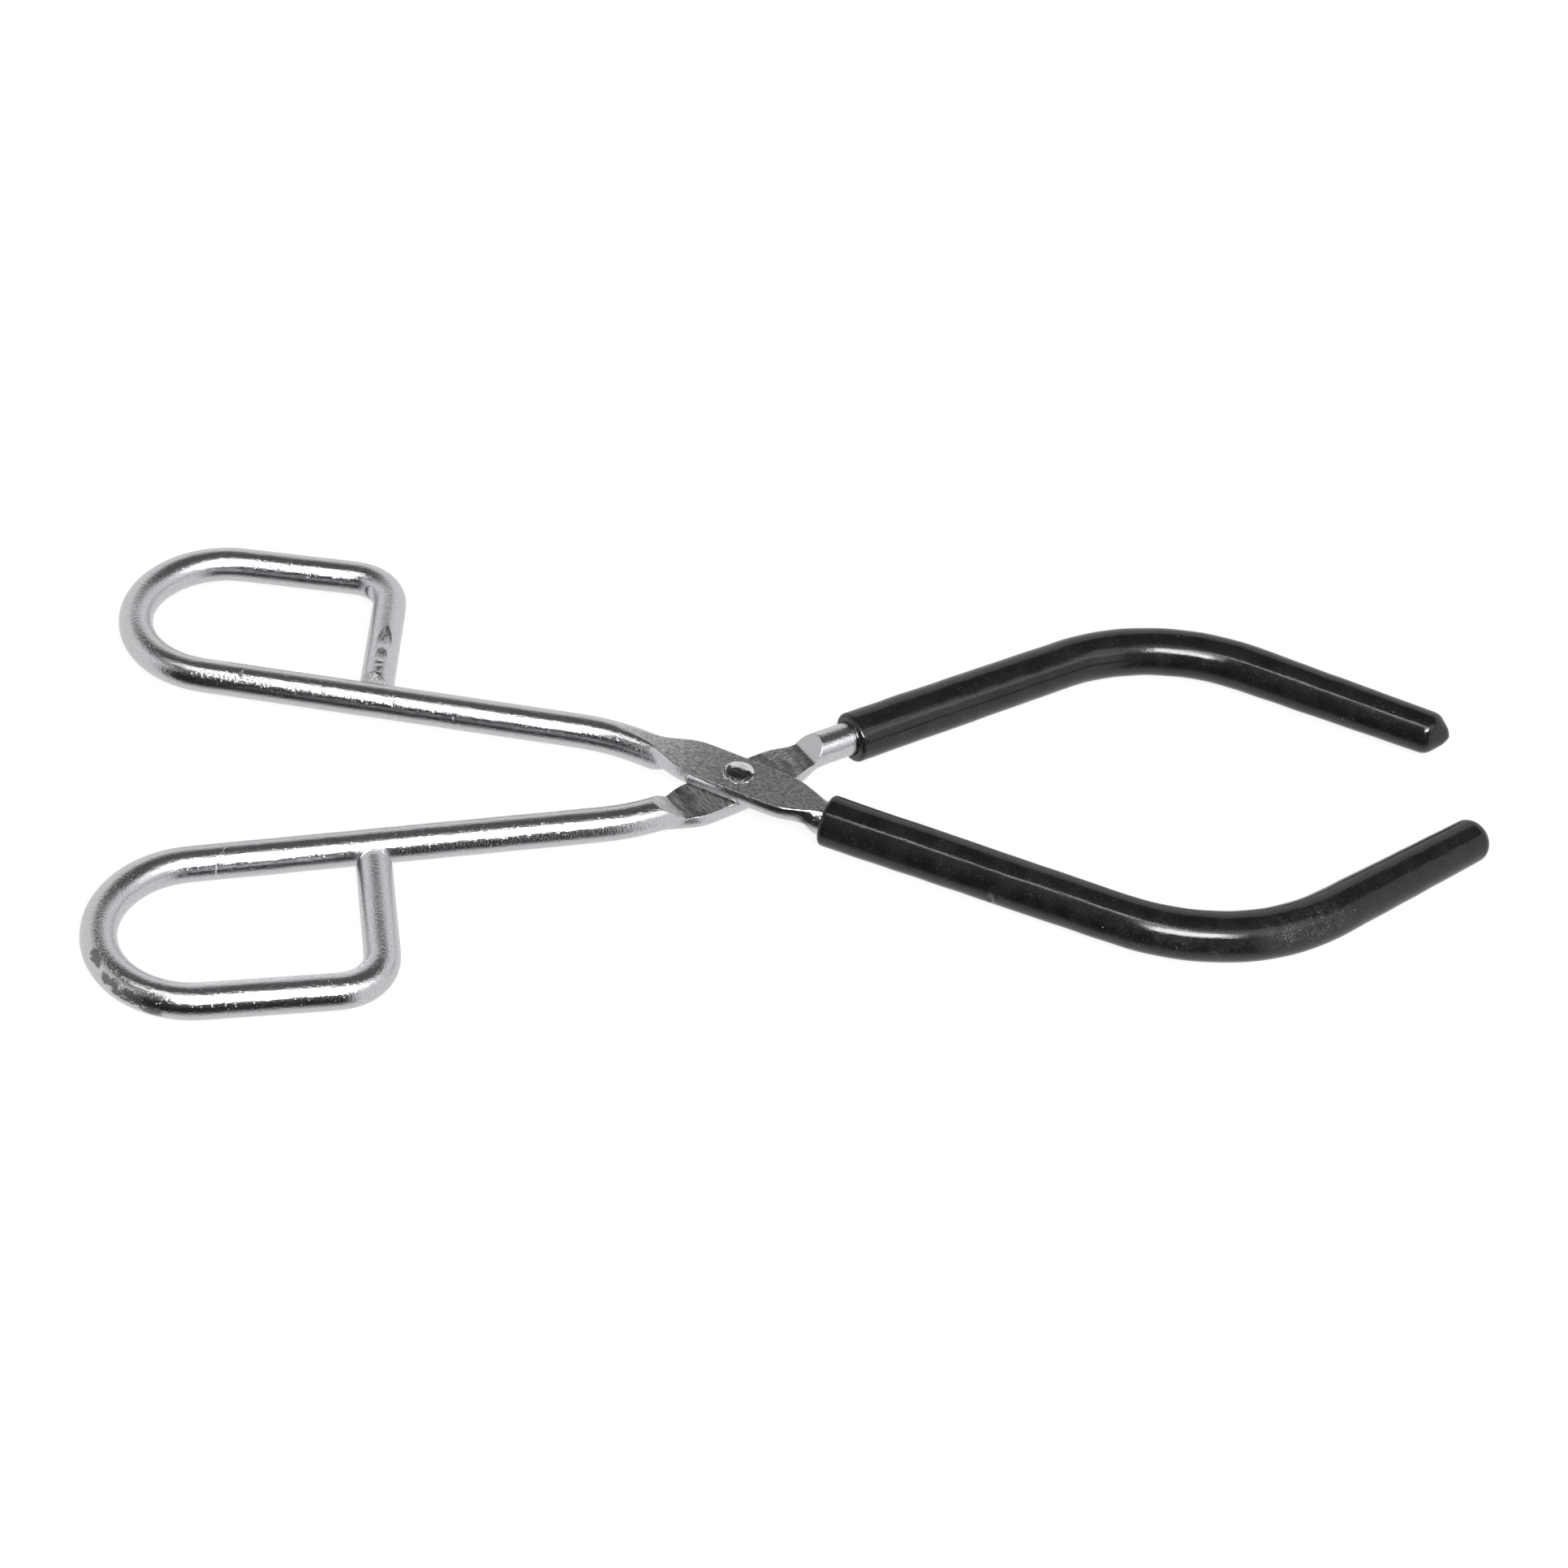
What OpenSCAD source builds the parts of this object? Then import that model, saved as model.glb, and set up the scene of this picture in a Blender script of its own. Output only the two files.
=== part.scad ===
// Scissor tongs bent from round bar, with coated V jaws and D-shaped finger loops.
// Millimetres. Both levers lie in one plane and cross at a half-lap joint held by a rivet.
// +X points to the jaws, +Z up. The origin is under the middle of the tongs, on the table.
// A lever is drawn with its pivot at [0, 0, 0] and its bar along X, jaw to +X and handle to -X.
// The lower lever is the same form turned over.

/* [Bar] */
// Diameter of the round bar
rod_d = 6.35; // [5.5:0.05:7]
// Angle at which the levers cross, at rest
crossing = 61.5; // [56:0.1:80]

/* [Upper lever] */
// Pivot to the corner point of the knee
upper_knee_at = 26; // [18:0.1:30]
// Turn of the knee
upper_knee_turn = 18.8; // [10:0.1:30]
// Pivot to the start of the finger loop
upper_reach = 103.8; // [90:0.1:120]
// Straight of the loop's bow, from the round end to the corner
upper_bow = 22.1; // [15:0.1:35]
// Turn of the loop's corner, from the bow to the cross bar
upper_corner_turn = 85.7; // [80:0.1:95]
// Corner point of the neck to that of the jaw's elbow
upper_elbow_at = 79.8; // [70:0.1:95]
// Turn of the elbow
upper_elbow_turn = 59.3; // [45:0.1:65]
// Corner point of the elbow to the end of the bar
upper_tip_reach = 58.1; // [45:0.1:75]
// Pivot to the mouth of the jaw sleeve
upper_mouth_at = 18.2; // [18:0.1:30]

/* [Lower lever] */
// Pivot to the corner point of the knee
lower_knee_at = 20.5; // [18:0.1:30]
// Turn of the knee
lower_knee_turn = 22.3; // [10:0.1:30]
// Pivot to the start of the finger loop
lower_reach = 101.9; // [90:0.1:120]
// Straight of the loop's bow, from the round end to the corner
lower_bow = 23.1; // [15:0.1:35]
// Turn of the loop's corner, from the bow to the cross bar
lower_corner_turn = 88.7; // [80:0.1:95]
// Corner point of the neck to that of the jaw's elbow
lower_elbow_at = 77.6; // [70:0.1:95]
// Turn of the elbow
lower_elbow_turn = 56.8; // [45:0.1:65]
// Corner point of the elbow to the end of the bar
lower_tip_reach = 58.6; // [45:0.1:75]
// Pivot to the mouth of the jaw sleeve
lower_mouth_at = 25.2; // [18:0.1:30]

/* [Bends of both levers] */
// Centre-line radius of the knee
knee_r = 40; // [20:1:50]
// Pivot to the corner point of the neck, where the jaw turns in a little
neck_at = 17.6; // [16.5:0.1:18]
// Centre-line radius of the neck
neck_r = 30; // [15:1:40]
// Turn of the neck
neck_turn = 3.9; // [1:0.1:10]
// Centre-line radius of the jaw's elbow
elbow_r = 39; // [20:0.1:45]
// Centre-line radius of the finger loop's round end
loop_r = 16.8; // [14:0.1:22]
// Turn of the round end
loop_turn = 177.3; // [172:0.1:184]
// Centre-line radius of the loop's corner
corner_r = 7.8; // [5:0.1:9]
// Diameter of the cross bar's end, drawn down where it is welded to the shank
weld_d = 5.6; // [4:0.1:6]
// Length over which the cross bar is drawn down
weld_taper = 1.6; // [0.5:0.1:4]

/* [Half-lap joint] */
// Depth of the coined outer flat below the top of the bar
flat_depth = 0.3; // [0.1:0.05:0.8]
// Outer flat from the pivot towards the jaw
flat_jaw = 13; // [8:0.5:14]
// Outer flat from the pivot towards the handle
flat_handle = 17.5; // [8:0.5:18]
// Length of the ramp at each end of the outer flat
flat_ramp = 7; // [2:0.5:8]
// Width across the swollen sides of the lap
lap_w = 9.8; // [8:0.1:11]
// Half the length of the swelling, along the bar
lap_half = 19.5; // [14:0.5:21]
// Fullness of the swelling's crown beyond the width that is kept
lap_crown = 1.2; // [0.3:0.1:1.5]
// Recess for the other lever, from the pivot towards the jaw
recess_jaw = 15.5; // [13:0.1:16]
// Recess for the other lever, from the pivot towards the handle
recess_handle = 13; // [12:0.1:16]
// Length of the slanted shoulder at the recess's jaw end
jaw_shoulder = 2.7; // [1:0.1:4]
// Length of the slanted shoulder at the recess's handle end
handle_shoulder = 4; // [1:0.1:5]
// Running gap between the two laps
lap_gap = 0.1; // [0.05:0.01:0.3]

/* [Rivet] */
// Diameter of the rivet's shank
rivet_d = 4; // [3:0.1:5]
// Overhang of the rivet's heads round the shank
rivet_lip = 0.75; // [0.5:0.05:1.5]
// Height of the domed heads
rivet_dome = 0.6; // [0.3:0.05:1.2]
// Radial clearance of the bore that turns on the rivet
rivet_run = 0.05; // [0.02:0.01:0.1]
// Radial clearance of the bore that holds the rivet
rivet_hold = 0.02; // [0.01:0.01:0.05]
// How far the rivet stands inside the middle of the bar
rivet_offset = 0.4; // [0:0.05:0.6]

/* [Jaw sleeves] */
// Wall of the coating at the mouth
mouth_wall = 1.6; // [1:0.05:2.5]
// Wall of the coating at the elbow
elbow_wall = 1.4; // [0.8:0.05:2.5]
// Wall of the coating at the tip
tip_wall = 0.9; // [0.8:0.05:2.5]
// Thickness of the upper sleeve's closed end
upper_end_wall = 2; // [1:0.1:4]
// Thickness of the lower sleeve's closed end
lower_end_wall = 2.5; // [1:0.1:4]
// Radius of the rounded rim at the mouth
rim_r = 0.8; // [0.3:0.05:0.95]
// Radius of the upper sleeve's rounded tip
tip_round = 2.6; // [1:0.1:3.5]
// Length of the lower sleeve's conical tip
tip_cone = 2.9; // [1:0.1:4]
// Flat end of the lower sleeve's conical tip
tip_flat_d = 2.2; // [2:0.1:6]
// Gap between the bar and the coating
sleeve_fit = 0.05; // [0.02:0.01:0.1]

/* [Hidden] */
$fn = 64;
// Facets of a shallow arc, which is a small part of a large circle
arc_fn = 256;
// Facets of a quarter round in a revolved outline
arc_steps = 8;
STEEL = [0.72, 0.72, 0.73];
RIVET_STEEL = [0.55, 0.55, 0.56];
COATING = [0.08, 0.08, 0.09];
// How far a cutting body runs past what it cuts
over = 1;
// Where a straight runs into a bend it swells by a hair, then ends just inside the bend
bend_mark = 0.01;
bend_lap = 0.3;

rod_r = rod_d / 2;
half_gap = lap_gap / 2;
flat_z = rod_r - flat_depth;
lap_z = (flat_z + half_gap) / 2;
lap_end_r = (rod_r - lap_z) / 2;
lap_top_r = lap_w / 2 + lap_crown;
lap_arc_r = (lap_half ^ 2 + (lap_top_r - lap_end_r) ^ 2) / (2 * (lap_top_r - lap_end_r));
bore_r = rod_r + sleeve_fit;
mouth_r = bore_r + mouth_wall;
elbow_sleeve_r = bore_r + elbow_wall;
tip_sleeve_r = bore_r + tip_wall;

// A run of bar is a list of [length, bend radius, turn]. Turns are counter-clockwise.
function straight(length) = [length, 0, 0];
function bend(radius, turn) = [0, radius, turn];
function tangent(radius, turn) = radius * tan(turn / 2);
function ahead(p, d) = [p.x + d * cos(p.z), p.y + d * sin(p.z), p.z];
function aside(p, d) = [p.x - d * sin(p.z), p.y + d * cos(p.z), p.z];
// A pose is [x, y, heading]. These give the pose after one piece, and after a number of pieces.
function after(p, piece) = piece[2] == 0 ? ahead(p, piece[0]) : let (
    side = sign(piece[2]) * piece[1],
    centre = aside(p, side)
) aside([centre.x, centre.y, p.z + piece[2]], -side);
function pose_at(p, run, count) = count == 0 ? p : after(pose_at(p, run, count - 1), run[count - 1]);
// Distance from pose p along its heading to the line through pose q
function distance_to_line(p, q) =
    ((q.x - p.x) * sin(q.z) - (q.y - p.y) * cos(q.z)) / (cos(p.z) * sin(q.z) - sin(p.z) * cos(q.z));

// The handle leaves the pivot straight back along X, and the jaw straight ahead
HANDLE_START = [0, -rivet_offset, atan2(0, -1)];
JAW_START = [0, -rivet_offset, atan2(0, 1)];

// The pieces of each run in their order, and how many pieces come before a named one
HANDLE_PIECES = ["straight", "knee", "shank", "round end", "bow", "corner"];
JAW_PIECES = ["straight", "neck", "jaw", "elbow", "tip"];
function pieces_before(name, pieces) = search([name], pieces)[0];
TO_SHANK = pieces_before("shank", HANDLE_PIECES);
TO_LOOP = pieces_before("round end", HANDLE_PIECES);
TO_JAW = pieces_before("jaw", JAW_PIECES);
TO_ELBOW = pieces_before("elbow", JAW_PIECES);
TO_TIP = pieces_before("tip", JAW_PIECES);

function handle_run(knee_at, knee_turn, reach, bow, corner_turn) = let (
    t = tangent(knee_r, knee_turn)
) [straight(knee_at - t), bend(knee_r, knee_turn), straight(reach - knee_at - t),
   bend(loop_r, -loop_turn), straight(bow), bend(corner_r, -corner_turn)];

function jaw_run(elbow_at, elbow_turn, tip_reach) = let (
    n = tangent(neck_r, neck_turn),
    e = tangent(elbow_r, elbow_turn)
) [straight(neck_at - n), bend(neck_r, neck_turn), straight(elbow_at - n - e),
   bend(elbow_r, elbow_turn), straight(tip_reach - e)];

upper_handle = handle_run(upper_knee_at, upper_knee_turn, upper_reach, upper_bow, upper_corner_turn);
lower_handle = handle_run(lower_knee_at, lower_knee_turn, lower_reach, lower_bow, lower_corner_turn);
upper_jaw = jaw_run(upper_elbow_at, upper_elbow_turn, upper_tip_reach);
lower_jaw = jaw_run(lower_elbow_at, lower_elbow_turn, lower_tip_reach);

// Outer ends of the tongs, with the pivot at [0, 0]
function turned(p, angle) =
    [p.x * cos(angle) - p.y * sin(angle), p.x * sin(angle) + p.y * cos(angle), p.z + angle];
function open_end(start, run, count) = turned(pose_at(start, run, count), -crossing / 2);
function loop_centre(handle) = aside(open_end(HANDLE_START, handle, TO_LOOP), -loop_r);
function sleeve_end(jaw, end_wall) = ahead(open_end(JAW_START, jaw, len(jaw)), sleeve_fit + end_wall);
function rounded_tip_x(p) = p.x + (tip_sleeve_r - tip_round) * sin(p.z) + tip_round * (1 - cos(p.z));
function conical_tip_x(p) = max(
    p.x + tip_flat_d / 2 * sin(p.z),
    p.x - tip_cone * cos(p.z) + tip_sleeve_r * sin(p.z)
);
loop_out = loop_r + rod_r;
back = min(loop_centre(upper_handle).x, loop_centre(lower_handle).x) - loop_out;
front = max(
    rounded_tip_x(sleeve_end(upper_jaw, upper_end_wall)),
    conical_tip_x(sleeve_end(lower_jaw, lower_end_wall))
);
far_side = loop_centre(upper_handle).y + loop_out;
near_side = -loop_centre(lower_handle).y - loop_out;
underside = -max(mouth_r, elbow_sleeve_r, tip_sleeve_r);
pivot_place = [-(back + front) / 2, -(near_side + far_side) / 2, -underside];

module place_upper() {
    translate(pivot_place)
        rotate(-crossing / 2)
            children();
}

module place_lower() {
    translate(pivot_place)
        rotate(crossing / 2)
            rotate([180, 0, 0])
                children();
}

module at_pose(p) {
    translate([p.x, p.y, 0])
        rotate(p.z)
            children();
}

// Outline points of a straight where it leaves a bend at distance 0, and where it enters one
function leaves_bend(radius) =
    [[0, -bend_lap], [radius - bend_mark, -bend_lap], [radius + bend_mark, 0], [radius, bend_lap]];
function enters_bend(radius, length) = [
    [radius, length - bend_lap],
    [radius + bend_mark, length],
    [radius - bend_mark, length + bend_lap],
    [0, length + bend_lap],
];

// Revolves an outline of [radius, distance] points about the X axis
module turned_along_x(outline) {
    rotate([90, 0, 90])
        rotate_extrude()
            polygon(outline);
}

// One piece of round bar, starting at the origin and heading along X
module bar_piece(piece, radius) {
    turn = piece[2];
    if (turn == 0) {
        turned_along_x(concat(leaves_bend(radius), enters_bend(radius, piece[0])));
    } else {
        translate([0, sign(turn) * piece[1], 0])
            rotate(turn > 0 ? -90 : 90 + turn)
                rotate_extrude(angle = abs(turn))
                    translate([piece[1], 0])
                        circle(r = radius);
    }
}

// Bends and straights beyond the straight that goes through the pivot
module bar_run(start, run, radius) {
    for (i = [1 : len(run) - 1])
        at_pose(pose_at(start, run, i))
            bar_piece(run[i], radius);
}

// Cross bar from the corner back to the shank, drawn down at its end and sunk to the shank's middle
module cross_bar(handle) {
    start = pose_at(HANDLE_START, handle, len(handle));
    length = distance_to_line(start, pose_at(HANDLE_START, handle, TO_SHANK));
    at_pose(start)
        turned_along_x(concat(leaves_bend(rod_r), [
            [rod_r, length - rod_r - weld_taper],
            [weld_d / 2, length - rod_r],
            [weld_d / 2, length],
            [0, length],
        ]));
}

// Metal squeezed out sideways where the bar is coined flat: a barrel along the bar
module lap_swelling() {
    translate([0, 0, lap_z])
        rotate([90, 0, 90])
            rotate_extrude()
                intersection() {
                    translate([0, -lap_half])
                        square([lap_w / 2, 2 * lap_half]);
                    translate([lap_top_r - lap_arc_r, 0])
                        circle(r = lap_arc_r, $fn = arc_fn);
                }
}

// Cuts a side outline of [along the bar, height] points right across the lap
module cut_across(outline) {
    width = lap_w + 2 * over;
    translate([0, width / 2, 0])
        rotate([90, 0, 0])
            linear_extrude(width)
                polygon(outline);
}

// Room for the other lever, below the middle of the bar, with slanted shoulders
module lap_recess() {
    depth = rod_r + over;
    share = (depth + half_gap) / rod_r;
    cut_across([
        [-recess_handle, half_gap],
        [recess_jaw, half_gap],
        [recess_jaw + jaw_shoulder * share, -depth],
        [-recess_handle - handle_shoulder * share, -depth],
    ]);
}

// Coined outer flat, which runs out of the bar in a shallow ramp at each end
module outer_flat() {
    height = lap_top_r + over;
    run = flat_ramp * height / flat_depth;
    cut_across([
        [-flat_handle, flat_z],
        [flat_jaw, flat_z],
        [flat_jaw + run, flat_z + height],
        [-flat_handle - run, flat_z + height],
    ]);
}

module lever(handle, jaw, bore_clearance) {
    through = straight(handle[0][0] + jaw[0][0]);
    difference() {
        union() {
            at_pose(ahead(JAW_START, -handle[0][0]))
                bar_piece(through, rod_r);
            bar_run(HANDLE_START, handle, rod_r);
            bar_run(JAW_START, jaw, rod_r);
            cross_bar(handle);
            at_pose(JAW_START)
                lap_swelling();
        }
        at_pose(JAW_START) {
            lap_recess();
            outer_flat();
        }
        cylinder(r = rivet_d / 2 + bore_clearance, h = rod_d + 2 * over, center = true);
    }
}

// Straight of the coating from its rounded mouth to the elbow, as a revolved outline
function mouth_outline(length) = concat(
    [[0, 0]],
    [for (i = [0 : arc_steps])
        let (a = 90 * i / arc_steps)
            [mouth_r - rim_r + rim_r * sin(a), rim_r - rim_r * cos(a)]],
    enters_bend(elbow_sleeve_r, length)
);

// Tip of the upper sleeve, with a rounded end
function rounded_tip(length) = concat(
    leaves_bend(elbow_sleeve_r),
    [for (i = [0 : arc_steps])
        let (a = 90 * i / arc_steps)
            [tip_sleeve_r - tip_round + tip_round * cos(a), length - tip_round + tip_round * sin(a)]],
    [[0, length]]
);

// Tip of the lower sleeve, with a conical end
function conical_tip(length) = concat(leaves_bend(elbow_sleeve_r), [
    [tip_sleeve_r, length - tip_cone],
    [tip_flat_d / 2, length],
    [0, length],
]);

// Coating over a jaw, from its mouth to past the end of the bar
module sleeve(jaw, mouth_at, end_wall, rounded) {
    mouth = mouth_at - neck_at - tangent(neck_r, neck_turn);
    jaw_length = jaw[TO_JAW][0] - mouth;
    tip_length = jaw[TO_TIP][0] + sleeve_fit;
    mouth_pose = ahead(pose_at(JAW_START, jaw, TO_JAW), mouth);
    tip_pose = pose_at(JAW_START, jaw, TO_TIP);
    elbow_pose = pose_at(JAW_START, jaw, TO_ELBOW);
    end = tip_length + end_wall;
    difference() {
        union() {
            at_pose(mouth_pose)
                turned_along_x(mouth_outline(jaw_length));
            at_pose(elbow_pose)
                bar_piece(jaw[TO_ELBOW], elbow_sleeve_r);
            at_pose(tip_pose)
                turned_along_x(rounded ? rounded_tip(end) : conical_tip(end));
        }
        at_pose(ahead(mouth_pose, -over))
            bar_piece(straight(jaw_length + over), bore_r);
        at_pose(elbow_pose)
            bar_piece(jaw[TO_ELBOW], bore_r);
        at_pose(tip_pose)
            bar_piece(straight(tip_length), bore_r);
    }
}

// A low dome standing on z = 0
module rivet_head() {
    head_r = rivet_d / 2 + rivet_lip;
    dome_r = (head_r ^ 2 + rivet_dome ^ 2) / (2 * rivet_dome);
    rotate_extrude()
        intersection() {
            square([head_r + over, rivet_dome + over]);
            translate([0, rivet_dome - dome_r])
                circle(r = dome_r, $fn = arc_fn);
        }
}

module upper_lever() {
    color(STEEL)
        place_upper()
            lever(upper_handle, upper_jaw, rivet_run);
}

module lower_lever() {
    color(STEEL)
        place_lower()
            lever(lower_handle, lower_jaw, rivet_hold);
}

module pivot_rivet() {
    top = flat_z + half_gap;
    color(RIVET_STEEL)
        translate(pivot_place) {
            translate([0, 0, -flat_z])
                cylinder(d = rivet_d, h = flat_z + top);
            translate([0, 0, top])
                rivet_head();
            translate([0, 0, -flat_z])
                rotate([180, 0, 0])
                    rivet_head();
        }
}

module upper_jaw_sleeve() {
    color(COATING)
        place_upper()
            sleeve(upper_jaw, upper_mouth_at, upper_end_wall, rounded = true);
}

module lower_jaw_sleeve() {
    color(COATING)
        place_lower()
            sleeve(lower_jaw, lower_mouth_at, lower_end_wall, rounded = false);
}

upper_lever();
lower_lever();
pivot_rivet();
upper_jaw_sleeve();
lower_jaw_sleeve();
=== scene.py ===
"""Looks of the scissor tongs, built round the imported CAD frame.

Lengths are millimetres while a surface is worked out and metres in its mesh. A lever is worked out in a frame of its
own, with the pivot at the origin, its bar along X, jaw to +X, and its coined flat facing +Z, and then put in place.
"""

from __future__ import annotations

import logging
import math
from dataclasses import dataclass, field
from enum import Enum
from typing import Any, Callable, Mapping, Sequence, Union

import bpy
import numpy as np
from mathutils import Matrix, Vector

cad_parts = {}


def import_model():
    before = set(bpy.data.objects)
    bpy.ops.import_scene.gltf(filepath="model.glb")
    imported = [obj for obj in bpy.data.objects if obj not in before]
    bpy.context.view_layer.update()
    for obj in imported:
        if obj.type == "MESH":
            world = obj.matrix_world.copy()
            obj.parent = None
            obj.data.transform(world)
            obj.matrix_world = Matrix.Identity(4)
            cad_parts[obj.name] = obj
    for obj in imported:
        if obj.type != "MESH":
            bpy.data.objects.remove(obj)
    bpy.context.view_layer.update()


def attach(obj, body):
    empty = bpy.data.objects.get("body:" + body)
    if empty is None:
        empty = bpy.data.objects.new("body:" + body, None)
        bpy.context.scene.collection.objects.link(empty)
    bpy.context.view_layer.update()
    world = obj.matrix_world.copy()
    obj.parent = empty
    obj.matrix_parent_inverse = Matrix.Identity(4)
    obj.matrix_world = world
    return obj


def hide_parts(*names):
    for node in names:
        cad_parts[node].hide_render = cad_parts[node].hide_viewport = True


LOG = logging.getLogger("tongs")
MM = 0.001
FULL_TURN = 2.0 * math.pi
QUARTER_TURN = math.pi / 2.0
UP = Vector((0.0, 0.0, 1.0))
IMAGE_SIDE = 1932
FAR = 90.0
STATION_SAMPLES = 40001
STEP_GROWTH = 0.3
Array = np.ndarray
Pair = tuple[float, float]
Point = tuple[float, float, float]


# ---- Shader maths ----


def math_method(operation: str, reflected: bool = False) -> Callable[[Wire, Value], Wire]:
    """A method of Wire that adds one Math node.

    Args:
        operation: The node's operation.
        reflected: Whether the other value comes first.

    Returns:
        The method, which takes the other value and hands on the node's result.
    """

    def method(wire: Wire, other: Value) -> Wire:
        """Adds the node."""
        values = (other, wire) if reflected else (wire, other)
        return wire.graph.add("ShaderNodeMath", {"operation": operation}, dict(enumerate(values)))

    return method


class Wire:
    """A shader socket that takes part in Python expressions, each of which adds Math nodes."""

    __add__, __radd__ = math_method("ADD"), math_method("ADD", reflected=True)
    __sub__, __rsub__ = math_method("SUBTRACT"), math_method("SUBTRACT", reflected=True)
    __mul__, __rmul__ = math_method("MULTIPLY"), math_method("MULTIPLY", reflected=True)
    most = math_method("MAXIMUM")

    def __init__(self, graph: Graph, socket: bpy.types.NodeSocket) -> None:
        """Keeps the socket and the graph that it belongs to."""
        self.graph = graph
        self.socket = socket

    def of(self, output: str) -> Wire:
        """Another output of the same node."""
        return Wire(self.graph, self.socket.node.outputs[output])

    def ramp(self, low: float, high: float) -> Wire:
        """A smooth step: 0 at low, 1 at high, eased between them, where low may be the greater."""
        sockets = {"Value": self, "From Min": low, "From Max": high, "To Min": 0.0, "To Max": 1.0}
        return self.graph.add("ShaderNodeMapRange", {"interpolation_type": "SMOOTHSTEP"}, sockets)


Value = Union[Wire, float]


class Graph:
    """A node tree that is filled by calls."""

    def __init__(self, tree: bpy.types.NodeTree) -> None:
        """Takes over a tree and empties it."""
        self.tree = tree
        tree.nodes.clear()

    def add(
        self,
        kind: str,
        settings: Mapping[str, Any] | None = None,
        sockets: Mapping[Union[str, int], Any] | None = None,
        output: Union[str, int] = 0,
    ) -> Wire:
        """Adds any node.

        Args:
            kind: The node's type.
            settings: Its settings, set before its sockets.
            sockets: The values or links of its inputs, by name or number.
            output: The output to hand on.

        Returns:
            That output as a wire, or the first input of a node without outputs.
        """
        node = self.tree.nodes.new(kind)
        for name, value in (settings or {}).items():
            setattr(node, name, value)
        for key, value in (sockets or {}).items():
            if isinstance(value, Wire):
                self.tree.links.new(value.socket, node.inputs[key])
            else:
                node.inputs[key].default_value = value
        return Wire(self, node.outputs[output] if len(node.outputs) else node.inputs[0])

    def attribute(self, name: str, output: str = "Fac") -> Wire:
        """A mesh attribute."""
        return self.add("ShaderNodeAttribute", {"attribute_name": name}, output=output)

    def noise(
        self, vector: Wire, scale: float, detail: float = 2.0, rough: float = 0.5, stretch: Point | None = None
    ) -> Wire:
        """Noise of about 0 to 1, on a vector that is first multiplied by the stretch where one is given."""
        if stretch is not None:
            vector = self.add("ShaderNodeVectorMath", {"operation": "MULTIPLY"}, {0: vector, 1: stretch})
        sockets = {"Vector": vector, "Scale": scale, "Detail": detail, "Roughness": rough}
        return self.add("ShaderNodeTexNoise", {"noise_dimensions": "3D"}, sockets, "Fac")

    def cells(self, vector: Wire, scale: float) -> Wire:
        """Distance to the nearest of many scattered points."""
        return self.add("ShaderNodeTexVoronoi", {}, {"Vector": vector, "Scale": scale}, "Distance")

    def chance(self, cells: Wire) -> Wire:
        """A number from 0 to 1 that belongs to the nearest of the scattered points."""
        return self.add("ShaderNodeSeparateColor", {}, {"Color": cells.of("Color")}, "Red")

    def parted(self, vector: Wire) -> Wire:
        """A vector's X, with Y and Z as other outputs."""
        return self.add("ShaderNodeSeparateXYZ", {}, {"Vector": vector}, "X")

    def blend(self, factor: Value, first: Any, second: Any) -> Wire:
        """A colour between two colours."""
        return self.add("ShaderNodeMix", {"data_type": "RGBA"}, {0: factor, 6: first, 7: second}, 2)

    def bump(self, height: Wire, distance: float) -> Wire:
        """A normal bent by a height, where distance is in millimetres."""
        sockets = {"Height": height, "Strength": 1.0, "Distance": distance * MM}
        return self.add("ShaderNodeBump", {}, sockets, "Normal")


def grey(level: float, violet: float = 0.0) -> tuple[float, ...]:
    """A neutral colour, or one with a trace of violet, as plating has."""
    return (level, level * (1.0 - 0.3 * violet), level * (1.0 + violet), 1.0)


def tones(level: float, low: float, high: float, violet: float = 0.0) -> Sequence[tuple[float, ...]]:
    """A darker and a lighter grey, by their shares of a level."""
    return grey(level * low, violet), grey(level * high, violet)


# ---- Surfaces ----


def smooth_step(value: Array, low: float, high: float) -> Array:
    """0 at low, 1 at high, and 3t^2 - 2t^3 between them, where low may be the greater."""
    t = np.clip((value - low) / (high - low), 0.0, 1.0)
    return t * t * (3.0 - 2.0 * t)


def soft_max(a: Array, b: Array, ease: float) -> Array:
    """The greater of two lengths, with the corner where they meet eased: (a + b + sqrt((a - b)^2 + ease^2)) / 2."""
    return 0.5 * (a + b + np.sqrt((a - b) ** 2 + ease**2))


def soft_min(a: Array, b: Array, ease: float) -> Array:
    """The lesser of two lengths, with the corner where they meet eased: (a + b - sqrt((a - b)^2 + ease^2)) / 2."""
    return 0.5 * (a + b - np.sqrt((a - b) ** 2 + ease**2))


def bezier(first: complex, corner: complex, last: complex, count: int) -> Array:
    """A corner eased by the curve (1 - t)^2 first + 2 t (1 - t) corner + t^2 last, in the complex plane."""
    t = np.linspace(0.0, 1.0, count)
    return (1.0 - t) ** 2 * first + 2.0 * t * (1.0 - t) * corner + t**2 * last


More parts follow.
